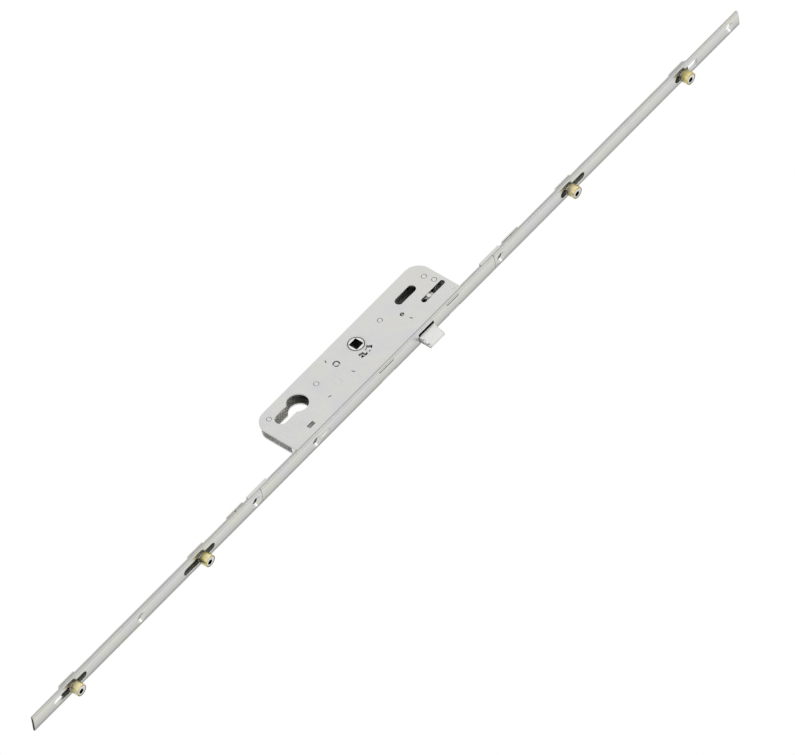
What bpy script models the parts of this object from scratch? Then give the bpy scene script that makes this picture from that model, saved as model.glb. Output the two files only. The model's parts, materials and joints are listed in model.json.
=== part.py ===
"""Multipoint door lock with a gearbox case, a bevelled latch and four eccentric roller cams.

Metres, +Z up along the strip. +X points out of the faceplate, the way the latch and the rollers
stand out. The near side of the case faces -Y. The origin lies on the back of the faceplate, in the
middle of its width, level with the spindle.
"""

import math

import bmesh
import bpy
from mathutils import Matrix, Vector

# Faceplate, in three lengths that lie end to end
FACE_WIDTH = 0.016
FACE_THICK = 0.0025
FACE_EDGE_RADIUS = 0.0015
STRIP_TOP = 0.425
STRIP_BOTTOM = -0.420
CENTRE_TOP = 0.1265
CENTRE_BOTTOM = -0.152
JOINT_GAP = 0.0003
PRESSED_DEPTH = 0.0004
PRESSED_LENGTH = 0.012
PRESSED_WIDTH = 0.0042
PRESSED_LEVEL = -0.0775

# Countersunk fixing holes in the faceplate
SCREW_RADIUS = 0.0026
SCREW_HEAD_RADIUS = 0.0046
SCREW_LEVELS = (0.413, 0.1335, -0.0875, -0.159, -0.295)

# Gearbox case
BACKSET = 0.033
CASE_TOP = 0.090
CASE_BOTTOM = -0.106
CASE_BEHIND_SPINDLE = 0.0155
CASE_WIDTH = 0.013
CASE_CORNER = 0.013
SHEET = 0.0015
TRAY_WALL = 0.0012
RIM_INSET_ENDS = 0.0022
RIM_INSET_BACK = 0.0005
WALL_END_TURN = 40.0
BOTTOM_TAB_GAP = 0.0012
BOTTOM_TAB_WIDTH = 0.0045
LUG_REACH = 0.0023
LUG_SPANS = ((0.070, 0.083), (-0.011, 0.005))

# Gaps between pieces: at rest on each other, and sliding or turning on each other
SEAT_GAP = 0.0003
RUN_GAP = 0.0003

# Spindle hub, euro profile cylinder hole and the other holes in both case plates
SPINDLE_SIDE = 0.0082
JOURNAL_RADIUS = 0.0067
BUSH_WALL = 0.0010
CYLINDER_LEVEL = -0.070
CYLINDER_RADIUS = 0.00875
CYLINDER_NECK = 0.0104
CYLINDER_HEIGHT = 0.0333
OVAL_LEVEL = 0.059
OVAL_WIDTH = 0.0072
OVAL_HEIGHT = 0.0218
PEEP_OFFSET = 0.0103
PEEP_LEVEL = 0.0427
PEEP_RADIUS = 0.0018
SETTING_SLOT = (0.0225, -0.0807, 0.0034, 0.0065)
IDLER_HOLE_EXTRA = 0.0008

# Curved window beside the hub, with a tongue of sheet left standing in it
WINDOW_LEVEL = -0.002
WINDOW_LAND = 0.0014
WINDOW_DEPTH = 0.0046
WINDOW_TONGUE = 0.0026
WINDOW_ANGLES = (-32.0, 38.0)
TONGUE_ANGLES = (-7.0, 7.0)

# Rivet posts that tie the two case plates together: two under the case's top edge, one in front of
# its back edge and above its bottom edge
TOP_RIVET_DROP = 0.0086
FRONT_RIVET_DROP = 0.0065
FRONT_RIVET_OFFSET = 0.0085
BACK_RIVET_INSET = 0.0079
BACK_RIVET_RISE = 0.011
POST_RADIUS = 0.0026
POST_END_RADIUS = 0.0019

# Gear train and rods
ROD_TRAVEL = 0.0125
GEAR_MODULE = 0.00125
HUB_TEETH = 20
IDLER_TEETH = 18
TOOTH_ADDENDUM = 0.0010
TOOTH_DEDENDUM = 0.0013
TOOTH_ROOT_SHARE = 0.32
TOOTH_TIP_SHARE = 0.115
PLATE_THICK = 0.0025
BARREL_RADIUS = 0.0095
TOOTHED_ANGLES = (-165.0, 20.0)
LATCH_CAM_RADIUS = 0.0128
LATCH_CAM_ANGLES = (103.0, 125.0)
IDLER_BOSS_RADIUS = 0.0070
IDLER_BORE_GAP = 0.0003
ROD_WIDTH = 0.010
ROD_THICK = 0.0023
ROD_GAP = 0.0004
TONGUE_WIDTH = 0.0092
TOP_TAB = (0.064, 0.071)
BOTTOM_TAB = (-0.067, -0.061)
ROD_JOINT_BEYOND = 0.0255
ROD_CORNER = 0.001
ROD_END_MARGIN = 0.010
SLIDE_PIN_OFFSET = 0.0153
SLIDE_PIN_LEVEL = 0.069
SLIDE_PIN_RADIUS = 0.0019
SLIDE_SLOT = (0.061, 0.087)
PIN_LAND = 0.0028
SLIDE_WINDOW = (0.0048, 0.0068)

# Roller cams: level of each, and how far its slot reaches above and below
ROLLERS = {
    "upper_outer": (0.355, 0.0185, 0.0085),
    "upper_inner": (0.216, 0.0190, 0.0095),
    "lower_inner": (-0.224, 0.0155, 0.0205),
    "lower_outer": (-0.375, 0.0160, 0.0215),
}
ROLLER_RADIUS = 0.0052
ROLLER_LENGTH = 0.0072
ROLLER_WALL = 0.0016
ROLLER_LIP = 0.0012
ROLLER_RIM = 0.0004
ECCENTRIC = 0.0005
STUD_RADIUS = 0.0030
STUD_FLANGE = 0.0006
CARRIER_LENGTH = 0.018
CARRIER_THICK = 0.0012
CARRIER_CORNER = 0.0015
HEX_ACROSS = 0.0040
HEX_DEPTH = 0.0030

# Rod couplers, and the splices that hold the rods behind the faceplate joints
SPLICE_WALL = 0.0007
SPLICE_HALF = 0.0115
COUPLER_HALF = 0.0095
COUPLER_THICK = 0.0012
COUPLER_PEG_RADIUS = 0.0020
COUPLER_PEG_SPREAD = 0.0052

# Latch, its spring and the lever that draws it back
LATCH_LEVEL = 0.044
LATCH_HEIGHT = 0.0175
LATCH_SIDES = (-0.0017, 0.0047)
LATCH_REACH = 0.0105
LATCH_TRAVEL = 0.009
LATCH_TIP = 0.0028
LATCH_BACK = -0.006
LATCH_STEM_LEVEL = 0.041
LATCH_STEM_HEIGHT = 0.0040
LATCH_STEM_SIDES = (0.0005, 0.0029)
LATCH_STEM_END = -0.0318
LATCH_PIN_X = -0.0296
LATCH_PIN_RADIUS = 0.00125
GUIDE_FRONT = -0.0245
GUIDE_THICK = 0.0028
GUIDE_HEIGHT = 0.0105
SPRING_RADIUS = 0.0028
SPRING_WIRE = 0.00035
SPRING_TURNS = 6
LEVER_LEVEL = 0.0285
LEVER_SIDES = (-0.0017, 0.0001)
LEVER_FORK_GAP = 0.0009
LEVER_ARM = 0.0030
LEVER_BOSS_WALL = 0.0018

# Locking lever that the cylinder's cam lifts, with its peg in the bottom slide's notch
LOCK_LEVER_LEVEL = -0.0476
LOCK_LEVER_ARM = 0.022
LOCK_LEVER_WIDTH = 0.0040
LOCK_LEVER_ANGLE = -55.0
LOCK_LEVER_SWING = 14.0
LOCK_PEG_RADIUS = 0.0014
LOCK_FOOT_LENGTH = 0.0075
LOCK_FOOT_ANGLE = -115.0

ROUND = 28
SMALL_ROUND = 16
CUT_MARGIN = 0.002

# Planes and levels that follow from the sizes above
SPINDLE_X = FACE_THICK - BACKSET
CASE_BACK = SPINDLE_X - CASE_BEHIND_SPINDLE
RIVET_PLACES = ((SPINDLE_X, CASE_TOP - TOP_RIVET_DROP),
                (SPINDLE_X + FRONT_RIVET_OFFSET, CASE_TOP - FRONT_RIVET_DROP),
                (CASE_BACK + BACK_RIVET_INSET, CASE_BOTTOM + BACK_RIVET_RISE))
NEAR_SIDE = -CASE_WIDTH / 2
FAR_SIDE = CASE_WIDTH / 2
NEAR_INNER = NEAR_SIDE + SHEET
FAR_INNER = FAR_SIDE - SHEET
CASE_FRONT = -SEAT_GAP
HUB_PITCH = GEAR_MODULE * HUB_TEETH / 2
IDLER_PITCH = GEAR_MODULE * IDLER_TEETH / 2
IDLER_LEVEL = -(HUB_PITCH + IDLER_PITCH)
TOOTH_PITCH = math.pi * GEAR_MODULE
FRONT_LAYER = (NEAR_INNER + RUN_GAP, NEAR_INNER + RUN_GAP + PLATE_THICK)
REAR_LAYER = (FRONT_LAYER[1] + 2 * RUN_GAP, FRONT_LAYER[1] + 2 * RUN_GAP + PLATE_THICK)
ROD_FRONT = -ROD_GAP
ROD_BACK = ROD_FRONT - ROD_THICK
SLIDE_FRONT = ROD_BACK - RUN_GAP
TRAY_TOP_INNER = CASE_TOP - RIM_INSET_ENDS - TRAY_WALL
UPPER_ROD_JOINT = CENTRE_TOP + ROD_JOINT_BEYOND
LOWER_ROD_JOINT = CENTRE_BOTTOM - ROD_JOINT_BEYOND
LEVER_BOSS_RADIUS = POST_RADIUS + RUN_GAP + LEVER_BOSS_WALL


def clear_scene():
    """Take every object out of the scene."""
    for old in list(bpy.data.objects):
        bpy.data.objects.remove(old, do_unlink=True)


def make_material(name, color, metallic, roughness):
    """A Principled material in one colour."""
    material = bpy.data.materials.new(name)
    material.use_nodes = True
    shader = material.node_tree.nodes["Principled BSDF"]
    shader.inputs["Base Color"].default_value = (*color, 1.0)
    shader.inputs["Metallic"].default_value = metallic
    shader.inputs["Roughness"].default_value = roughness
    return material


def arc(center, radius, start, stop, steps):
    """Points of an arc from start to stop in degrees, ends included."""
    points = []
    for step in range(steps + 1):
        angle = math.radians(start + (stop - start) * step / steps)
        points.append((center[0] + radius * math.cos(angle), center[1] + radius * math.sin(angle)))
    return points


def circle(center, radius, steps=ROUND):
    """Points round a circle, without the repeated last one."""
    return arc(center, radius, 0.0, 360.0, steps)[:-1]


def box_outline(low, high):
    """Four corners of a rectangle."""
    return [(low[0], low[1]), (high[0], low[1]), (high[0], high[1]), (low[0], high[1])]


def slot_outline(center_u, low, high, width, steps=8):
    """A slot with round ends whose length runs along the second direction."""
    radius = width / 2
    points = arc((center_u, high - radius), radius, 0.0, 180.0, steps)
    points += arc((center_u, low + radius), radius, 180.0, 360.0, steps)
    return points


def point_on(axis, u, v, height):
    """Place a flat point: u and v are the two directions across the axis, in X, Y, Z order."""
    if axis == "X":
        return Vector((height, u, v))
    if axis == "Y":
        return Vector((u, height, v))
    return Vector((u, v, height))


def add_object(name, bm, material, smooth_angle=40.0):
    """Turn a bmesh into a named object with one material."""
    bmesh.ops.recalc_face_normals(bm, faces=bm.faces)
    mesh = bpy.data.meshes.new(name)
    bm.to_mesh(mesh)
    bm.free()
    mesh.materials.append(material)
    mesh.shade_smooth()
    mesh.set_sharp_from_angle(angle=math.radians(smooth_angle))
    piece = bpy.data.objects.new(name, mesh)
    bpy.context.collection.objects.link(piece)
    return piece


def prism(name, outline, holes, axis, low, high, material):
    """A flat plate: an outline with holes, drawn out along an axis from low to high."""
    bm = bmesh.new()
    edges = []
    for loop in [outline, *holes]:
        corners = [bm.verts.new(point_on(axis, u, v, low)) for u, v in loop]
        edges += [bm.edges.new((corners[i - 1], corners[i])) for i in range(len(corners))]
    normal = point_on(axis, 0.0, 0.0, 1.0)
    filled = bmesh.ops.triangle_fill(bm, use_beauty=True, edges=edges, normal=normal)
    faces = [item for item in filled["geom"] if isinstance(item, bmesh.types.BMFace)]
    grown = bmesh.ops.extrude_face_region(bm, geom=faces)
    moved = [item for item in grown["geom"] if isinstance(item, bmesh.types.BMVert)]
    bmesh.ops.translate(bm, verts=moved, vec=normal * (high - low))
    return add_object(name, bm, material)


def turned(name, profile, axis, center, material, steps=ROUND):
    """A solid of revolution: profile points are (radius, height), and a zero radius closes an end."""
    bm = bmesh.new()
    rings = []
    for radius, height in profile:
        if radius == 0.0:
            rings.append([bm.verts.new(point_on(axis, center[0], center[1], height))])
        else:
            ring = circle(center, radius, steps)
            rings.append([bm.verts.new(point_on(axis, u, v, height)) for u, v in ring])
    closed = profile[0][0] != 0.0
    count = len(rings) if closed else len(rings) - 1
    for index in range(count):
        first = rings[index]
        second = rings[(index + 1) % len(rings)]
        for step in range(steps):
            after = (step + 1) % steps
            corners = [first[step % len(first)], first[after % len(first)]]
            corners += [second[after % len(second)], second[step % len(second)]]
            bm.faces.new(dict.fromkeys(corners))
    return add_object(name, bm, material)


def hide_cutter(cutter):
    """Keep a cutter or a joined shape out of the finished model."""
    cutter.hide_render = True
    cutter.display_type = "WIRE"


def combine(piece, other, operation):
    """Join another shape to a piece, or cut it away."""
    modifier = piece.modifiers.new(other.name, "BOOLEAN")
    modifier.operation = operation
    modifier.solver = "EXACT"
    modifier.object = other
    hide_cutter(other)


def hang_on(piece, axis_name, location):
    """Parent a moving piece to an empty that stands on its joint's axis."""
    pivot = bpy.data.objects.get(axis_name)
    if pivot is None:
        pivot = bpy.data.objects.new(axis_name, None)
        pivot.location = location
        pivot.empty_display_size = 0.01
        bpy.context.collection.objects.link(pivot)
    piece.parent = pivot
    piece.matrix_parent_inverse = Matrix.Translation(-Vector(location))


def tooth_outline(pitch_radius, center, teeth, first_angle, kept=None, rim=None):
    """A spur gear's outline; teeth outside the kept angles give way to a plain rim."""
    widths = ((pitch_radius - TOOTH_DEDENDUM, TOOTH_ROOT_SHARE),
              (pitch_radius + TOOTH_ADDENDUM, TOOTH_TIP_SHARE))
    points = []
    for index in range(teeth):
        middle = first_angle + 360.0 * index / teeth
        wrapped = (middle + 180.0) % 360.0 - 180.0
        if kept is not None and not kept[0] <= wrapped <= kept[1]:
            points += arc(center, rim, middle - 150.0 / teeth, middle + 150.0 / teeth, 1)
            continue
        sides = [(radius, math.degrees(share * TOOTH_PITCH / radius)) for radius, share in widths]
        for radius, half in (sides[0], sides[1]):
            angle = math.radians(middle - half)
            points.append((center[0] + radius * math.cos(angle), center[1] + radius * math.sin(angle)))
        for radius, half in (sides[1], sides[0]):
            angle = math.radians(middle + half)
            points.append((center[0] + radius * math.cos(angle), center[1] + radius * math.sin(angle)))
    return points


def rack_edge(pitch_x, low, high, tooth_level):
    """Rack teeth that point to -X, listed from low to high; one tooth is centred on tooth_level."""
    first = math.ceil((low - tooth_level) / TOOTH_PITCH + 0.5)
    last = math.floor((high - tooth_level) / TOOTH_PITCH - 0.5)
    root = pitch_x + TOOTH_DEDENDUM
    tip = pitch_x - TOOTH_ADDENDUM
    points = []
    for index in range(first, last + 1):
        middle = tooth_level + index * TOOTH_PITCH
        points.append((root, middle - TOOTH_ROOT_SHARE * TOOTH_PITCH))
        points.append((tip, middle - TOOTH_TIP_SHARE * TOOTH_PITCH))
        points.append((tip, middle + TOOTH_TIP_SHARE * TOOTH_PITCH))
        points.append((root, middle + TOOTH_ROOT_SHARE * TOOTH_PITCH))
    return points


def bar_outline(low, high, width, corner):
    """A long rectangle across Y and Z with round corners."""
    half = width / 2
    points = arc((half - corner, high - corner), corner, 0.0, 90.0, 4)
    points += arc((-half + corner, high - corner), corner, 90.0, 180.0, 4)
    points += arc((-half + corner, low + corner), corner, 180.0, 270.0, 4)
    points += arc((half - corner, low + corner), corner, 270.0, 360.0, 4)
    return points


def case_path(end_inset, back_inset, front, open_below=False):
    """The case's side view from its front top corner round the back to its front bottom corner.

    With open_below it stops part of the way round the bottom corner.
    """
    top = CASE_TOP - end_inset
    bottom = CASE_BOTTOM + end_inset
    back = CASE_BACK + back_inset
    radius = CASE_CORNER - end_inset
    points = [(front, top)]
    points += arc((back + radius, top - radius), radius, 90.0, 180.0, 8)
    corner = (back + radius, bottom + radius)
    if open_below:
        return points + arc(corner, radius, 180.0, 180.0 + WALL_END_TURN, 4)
    points += arc(corner, radius, 180.0, 270.0, 8)
    points.append((front, bottom))
    return points


def with_lugs(path):
    """Add the front edge of a case plate, with the lugs that grip the faceplate."""
    points = list(path)
    for low, high in reversed(LUG_SPANS):
        points += [(CASE_FRONT, low), (LUG_REACH, low), (LUG_REACH, high), (CASE_FRONT, high)]
    return points


def cylinder_hole():
    """The euro profile: a round hole with a straight neck below it that ends in an arc."""
    half = CYLINDER_NECK / 2
    meet = math.degrees(math.asin(half / CYLINDER_RADIUS))
    center = (SPINDLE_X, CYLINDER_LEVEL)
    points = arc(center, CYLINDER_RADIUS, meet - 90.0, 270.0 - meet, 20)
    neck_end = CYLINDER_LEVEL + CYLINDER_RADIUS - CYLINDER_HEIGHT + half
    points += arc((SPINDLE_X, neck_end), half, 180.0, 360.0, 10)
    return points


def common_holes(axle_clearance):
    """Holes that both case plates have: hub, cylinder, oval and the ends of the posts."""
    bush_outer = JOURNAL_RADIUS + RUN_GAP + BUSH_WALL
    holes = [circle((SPINDLE_X, 0.0), bush_outer + SEAT_GAP)]
    holes.append(cylinder_hole())
    oval_low = OVAL_LEVEL - OVAL_HEIGHT / 2
    holes.append(slot_outline(SPINDLE_X, oval_low, oval_low + OVAL_HEIGHT, OVAL_WIDTH))
    end_hole = POST_END_RADIUS + SEAT_GAP
    for place in (*RIVET_PLACES, (SPINDLE_X, LEVER_LEVEL), (SPINDLE_X, LOCK_LEVER_LEVEL)):
        holes.append(circle(place, end_hole, SMALL_ROUND))
    holes.append(circle((SPINDLE_X, IDLER_LEVEL), end_hole + axle_clearance, SMALL_ROUND))
    holes.append(circle((SPINDLE_X + PEEP_OFFSET, PEEP_LEVEL), PEEP_RADIUS, SMALL_ROUND))
    return holes


def follower_window():
    """The curved window beside the hub, with a tongue of sheet left standing in it."""
    center = (SPINDLE_X, WINDOW_LEVEL)
    inner = JOURNAL_RADIUS + BUSH_WALL + WINDOW_LAND
    first, last = WINDOW_ANGLES
    root_low, root_high = TONGUE_ANGLES
    points = arc(center, inner + WINDOW_DEPTH, first, last, 8)
    points += arc(center, inner, last, root_high, 3)
    points += arc(center, inner + WINDOW_TONGUE, root_high, root_low, 2)
    points += arc(center, inner, root_low, first, 3)
    return points


def make_cover(material):
    """Near case plate with every hole that the lock shows."""
    holes = common_holes(IDLER_HOLE_EXTRA)
    slot_x = SPINDLE_X + SLIDE_PIN_OFFSET
    slot_width = 2 * (SLIDE_PIN_RADIUS + RUN_GAP)
    holes.append(slot_outline(slot_x, SLIDE_SLOT[0], SLIDE_SLOT[1], slot_width))
    holes.append(follower_window())
    offset, level, width, height = SETTING_SLOT
    middle = (SPINDLE_X + offset, level)
    holes.append(box_outline((middle[0] - width / 2, middle[1] - height / 2),
                             (middle[0] + width / 2, middle[1] + height / 2)))
    outline = with_lugs(case_path(0.0, 0.0, CASE_FRONT))
    return prism("case_cover", outline, holes, "Y", NEAR_SIDE, NEAR_INNER, material)


def make_tray(material):
    """Far case plate with the folded wall round its top and back, open below but for a tab."""
    outer = case_path(RIM_INSET_ENDS, RIM_INSET_BACK, CASE_FRONT)
    tray = prism("case_tray", with_lugs(outer), common_holes(0.0), "Y", FAR_INNER, FAR_SIDE, material)
    mouth = SLIDE_FRONT - RUN_GAP
    span = (NEAR_INNER + SEAT_GAP, FAR_INNER + SHEET / 2)
    wall_outer = case_path(RIM_INSET_ENDS, RIM_INSET_BACK, mouth, open_below=True)
    wall_inner = case_path(RIM_INSET_ENDS + TRAY_WALL, RIM_INSET_BACK + TRAY_WALL, mouth,
                           open_below=True)
    combine(tray, prism("tray_wall", wall_outer + wall_inner[::-1], [], "Y", *span, material), "UNION")
    level = CASE_BOTTOM + RIM_INSET_ENDS
    tab = box_outline((mouth - BOTTOM_TAB_GAP - BOTTOM_TAB_WIDTH, level),
                      (mouth - BOTTOM_TAB_GAP, level + TRAY_WALL))
    combine(tray, prism("tray_tab", tab, [], "Y", *span, material), "UNION")
    return tray


def make_post(name, place, material):
    """Rivet post: thick between the plates, with a thinner end in each plate."""
    near = NEAR_INNER + SEAT_GAP
    far = FAR_INNER - SEAT_GAP
    profile = [(0.0, NEAR_SIDE), (POST_END_RADIUS, NEAR_SIDE), (POST_END_RADIUS, near),
               (POST_RADIUS, near), (POST_RADIUS, far), (POST_END_RADIUS, far),
               (POST_END_RADIUS, FAR_SIDE), (0.0, FAR_SIDE)]
    return turned(name, profile, "Y", place, material, SMALL_ROUND)


def make_bush(name, low, high, material):
    """Ring that lines the hub's hole in one case plate."""
    inner = JOURNAL_RADIUS + RUN_GAP
    outer = inner + BUSH_WALL
    profile = [(outer, low), (outer, high), (inner, high), (inner, low)]
    return turned(name, profile, "Y", (SPINDLE_X, 0.0), material)


def make_follower(material):
    """Spindle hub with its toothed sector, its latch cam and two journals."""
    center = (SPINDLE_X, 0.0)
    sector = tooth_outline(HUB_PITCH, center, HUB_TEETH, 0.0, TOOTHED_ANGLES, HUB_PITCH - TOOTH_DEDENDUM)
    follower = prism("follower", sector, [], "Y", *FRONT_LAYER, material)
    barrel_ends = (FRONT_LAYER[0] + RUN_GAP, FAR_INNER - RUN_GAP)
    profile = [(0.0, NEAR_SIDE), (JOURNAL_RADIUS, NEAR_SIDE), (JOURNAL_RADIUS, barrel_ends[0]),
               (BARREL_RADIUS, barrel_ends[0]), (BARREL_RADIUS, barrel_ends[1]),
               (JOURNAL_RADIUS, barrel_ends[1]), (JOURNAL_RADIUS, FAR_SIDE), (0.0, FAR_SIDE)]
    combine(follower, turned("follower_barrel", profile, "Y", center, material), "UNION")
    cam = arc(center, LATCH_CAM_RADIUS, *LATCH_CAM_ANGLES, 4)
    cam += arc(center, JOURNAL_RADIUS, *LATCH_CAM_ANGLES[::-1], 2)
    combine(follower, prism("follower_cam", cam, [], "Y", *LEVER_SIDES, material), "UNION")
    half = SPINDLE_SIDE / 2
    square = box_outline((SPINDLE_X - half, -half), (SPINDLE_X + half, half))
    hole = prism("spindle_hole", square, [], "Y", NEAR_SIDE - CUT_MARGIN, FAR_SIDE + CUT_MARGIN, material)
    combine(follower, hole, "DIFFERENCE")
    hang_on(follower, "follower_axis", (SPINDLE_X, 0.0, 0.0))
    return follower


def make_idler(material):
    """Gear between the hub and the bottom slide, wide enough to reach both layers."""
    center = (SPINDLE_X, IDLER_LEVEL)
    step = 360.0 / IDLER_TEETH
    teeth = tooth_outline(IDLER_PITCH, center, IDLER_TEETH, 90.0 + step / 2)
    bore = circle(center, POST_RADIUS + IDLER_BORE_GAP, SMALL_ROUND)
    idler = prism("idler_gear", teeth, [bore], "Y", FRONT_LAYER[0], REAR_LAYER[1], material)
    ring = [(IDLER_BOSS_RADIUS, REAR_LAYER[1] - RUN_GAP), (IDLER_BOSS_RADIUS, FAR_INNER - RUN_GAP),
            (POST_RADIUS + IDLER_BORE_GAP, FAR_INNER - RUN_GAP),
            (POST_RADIUS + IDLER_BORE_GAP, REAR_LAYER[1] - RUN_GAP)]
    combine(idler, turned("idler_boss", ring, "Y", center, material, SMALL_ROUND), "UNION")
    hang_on(idler, "idler_axis", (SPINDLE_X, 0.0, IDLER_LEVEL))
    return idler


def make_top_slide(material):
    """Rack plate in the front layer that the hub lifts, with a tab for the upper rod."""
    rack_x = SPINDLE_X + HUB_PITCH
    low = -ROD_TRAVEL - TOOTH_PITCH
    high = CASE_TOP - RIM_INSET_ENDS - TRAY_WALL - ROD_TRAVEL - SEAT_GAP
    rack_top = 1.5 * TOOTH_PITCH
    pin_x = SPINDLE_X + SLIDE_PIN_OFFSET
    root = rack_x + TOOTH_DEDENDUM
    wide = pin_x - 2 * SLIDE_PIN_RADIUS
    outline = [(root, low)]
    outline += rack_edge(rack_x, low, rack_top, TOOTH_PITCH / 2)
    outline += [(root, rack_top), (root, LATCH_LEVEL), (wide, LATCH_LEVEL + CASE_CORNER), (wide, high)]
    outline += [(SLIDE_FRONT, high), (SLIDE_FRONT, TOP_TAB[1]), (ROD_FRONT, TOP_TAB[1])]
    outline += [(ROD_FRONT, TOP_TAB[0]), (SLIDE_FRONT, TOP_TAB[0]), (SLIDE_FRONT, low)]
    pin_hole = circle((pin_x, SLIDE_PIN_LEVEL), SLIDE_PIN_RADIUS / 2 + SEAT_GAP, SMALL_ROUND)
    window_top = SLIDE_PIN_LEVEL - PIN_LAND
    window = slot_outline(pin_x, window_top - SLIDE_WINDOW[1], window_top, SLIDE_WINDOW[0])
    slide = prism("top_slide", outline, [pin_hole, window], "Y", *FRONT_LAYER, material)
    hang_on(slide, "top_slide_axis", (rack_x, 0.0, 0.0))
    return slide


def make_slide_pin(material):
    """Headed pin on the top slide that runs in the cover's slot."""
    shank = SLIDE_PIN_RADIUS / 2
    head = FRONT_LAYER[0] - SEAT_GAP / 2
    profile = [(0.0, NEAR_SIDE), (SLIDE_PIN_RADIUS, NEAR_SIDE), (SLIDE_PIN_RADIUS, head),
               (shank, head), (shank, FRONT_LAYER[1]), (0.0, FRONT_LAYER[1])]
    center = (SPINDLE_X + SLIDE_PIN_OFFSET, SLIDE_PIN_LEVEL)
    pin = turned("top_slide_pin", profile, "Y", center, material, SMALL_ROUND)
    hang_on(pin, "top_slide_axis", (SPINDLE_X + HUB_PITCH, 0.0, 0.0))
    return pin


def lock_peg_place(turn):
    """Where the locking lever's peg stands after a turn in degrees."""
    angle = math.radians(LOCK_LEVER_ANGLE + turn)
    reach = LOCK_LEVER_ARM
    return (SPINDLE_X + reach * math.cos(angle), LOCK_LEVER_LEVEL + reach * math.sin(angle))


def make_bottom_slide(material):
    """Rack plate in the rear layer that the idler drives down, notched for the locking peg."""
    rack_x = SPINDLE_X + IDLER_PITCH
    low = IDLER_LEVEL - 1.5 * TOOTH_PITCH
    high = IDLER_LEVEL + ROD_TRAVEL + TOOTH_PITCH
    root = rack_x + TOOTH_DEDENDUM
    locked = lock_peg_place(LOCK_LEVER_SWING)
    entering = lock_peg_place(0.6 * LOCK_LEVER_SWING)
    notch_x = locked[0] + LOCK_PEG_RADIUS + RUN_GAP
    notch_low = entering[1] - LOCK_PEG_RADIUS - 4 * RUN_GAP
    notch_high = locked[1] + LOCK_PEG_RADIUS + ROD_TRAVEL + 2 * RUN_GAP
    neck_x = locked[0] - LOCK_PEG_RADIUS + 3 * RUN_GAP
    foot = BOTTOM_TAB[0] - 2 * RUN_GAP - GUIDE_THICK
    step = math.degrees(math.pi / IDLER_TEETH)
    nearest = 90.0 + step - 2 * step * round((90.0 + step) / (2 * step))
    tooth_level = IDLER_LEVEL + math.radians(nearest) * IDLER_PITCH + TOOTH_PITCH / 2
    outline = [(neck_x, foot), (neck_x, notch_low), (notch_x, notch_low), (notch_x, notch_high)]
    outline += [(neck_x, notch_high), (root, low)]
    outline += rack_edge(rack_x, low, high, tooth_level)
    outline += [(root, high), (SLIDE_FRONT, high), (SLIDE_FRONT, BOTTOM_TAB[1])]
    outline += [(ROD_FRONT, BOTTOM_TAB[1]), (ROD_FRONT, BOTTOM_TAB[0])]
    outline += [(SLIDE_FRONT, BOTTOM_TAB[0]), (SLIDE_FRONT, foot)]
    slide = prism("bottom_slide", outline, [], "Y", *REAR_LAYER, material)
    hang_on(slide, "bottom_slide_axis", (rack_x, 0.0, 0.0))
    return slide


def screw_clearance(level, direction):
    """Slot in a rod that keeps a faceplate screw free while the rod moves by its travel."""
    reach = SCREW_RADIUS + 2 * RUN_GAP
    start = level - reach - (ROD_TRAVEL if direction > 0 else 0.0)
    stop = level + reach + (0.0 if direction > 0 else ROD_TRAVEL)
    return slot_outline(0.0, start, stop, 2 * reach)


def make_rod(name, outline, holes, axis_name, material):
    """One length of flat drive rod behind the faceplate."""
    rod = prism(name, outline, holes, "X", ROD_BACK, ROD_FRONT, material)
    hang_on(rod, axis_name, (bpy.data.objects[axis_name].location))
    return rod


def tongue_and_bar(case_end, inner, outer):
    """A drive rod's outline: a narrow tongue inside the case, full width beyond its end."""
    tongue = TONGUE_WIDTH / 2
    half = ROD_WIDTH / 2
    return [(-tongue, inner), (tongue, inner), (tongue, case_end), (half, case_end), (half, outer),
            (-half, outer), (-half, case_end), (-tongue, case_end)]


def layer_notch(layer, span):
    """A hole in a tongue for the tab of a slide that lies in the given layer."""
    low = (layer[0] - RUN_GAP, span[0] - RUN_GAP)
    high = (layer[1] + RUN_GAP, span[1] + RUN_GAP)
    return box_outline(low, high)


def make_upper_rods(material):
    """Upper drive rod, hooked on the top slide, and its extension with two stud holes."""
    end = CASE_TOP + 2 * SEAT_GAP
    start = TOP_TAB[0] - GUIDE_THICK
    outline = tongue_and_bar(end, start, UPPER_ROD_JOINT)
    edge = -TONGUE_WIDTH / 2
    bite = FRONT_LAYER[1] + RUN_GAP
    lip = TOP_TAB[0] - RUN_GAP
    outline += [(edge, TOP_TAB[1] + RUN_GAP), (bite, TOP_TAB[1] + RUN_GAP), (bite, lip), (edge, lip)]
    peg_hole = COUPLER_PEG_RADIUS + SEAT_GAP
    holes = [circle((0.0, UPPER_ROD_JOINT - COUPLER_PEG_SPREAD), peg_hole, SMALL_ROUND)]
    holes += [screw_clearance(level, 1) for level in SCREW_LEVELS if end < level < UPPER_ROD_JOINT]
    make_rod("upper_drive_rod", outline, holes, "top_slide_axis", material)
    low = UPPER_ROD_JOINT + JOINT_GAP
    high = ROLLERS["upper_outer"][0] + ROD_END_MARGIN
    outline = bar_outline(low, high, ROD_WIDTH, ROD_CORNER)
    holes = [circle((0.0, low + COUPLER_PEG_SPREAD), peg_hole, SMALL_ROUND)]
    for key in ("upper_inner", "upper_outer"):
        holes.append(circle((0.0, ROLLERS[key][0]), STUD_RADIUS + SEAT_GAP, SMALL_ROUND))
    holes += [screw_clearance(level, 1) for level in SCREW_LEVELS if low < level < high]
    make_rod("upper_extension_rod", outline, holes, "top_slide_axis", material)


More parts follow.
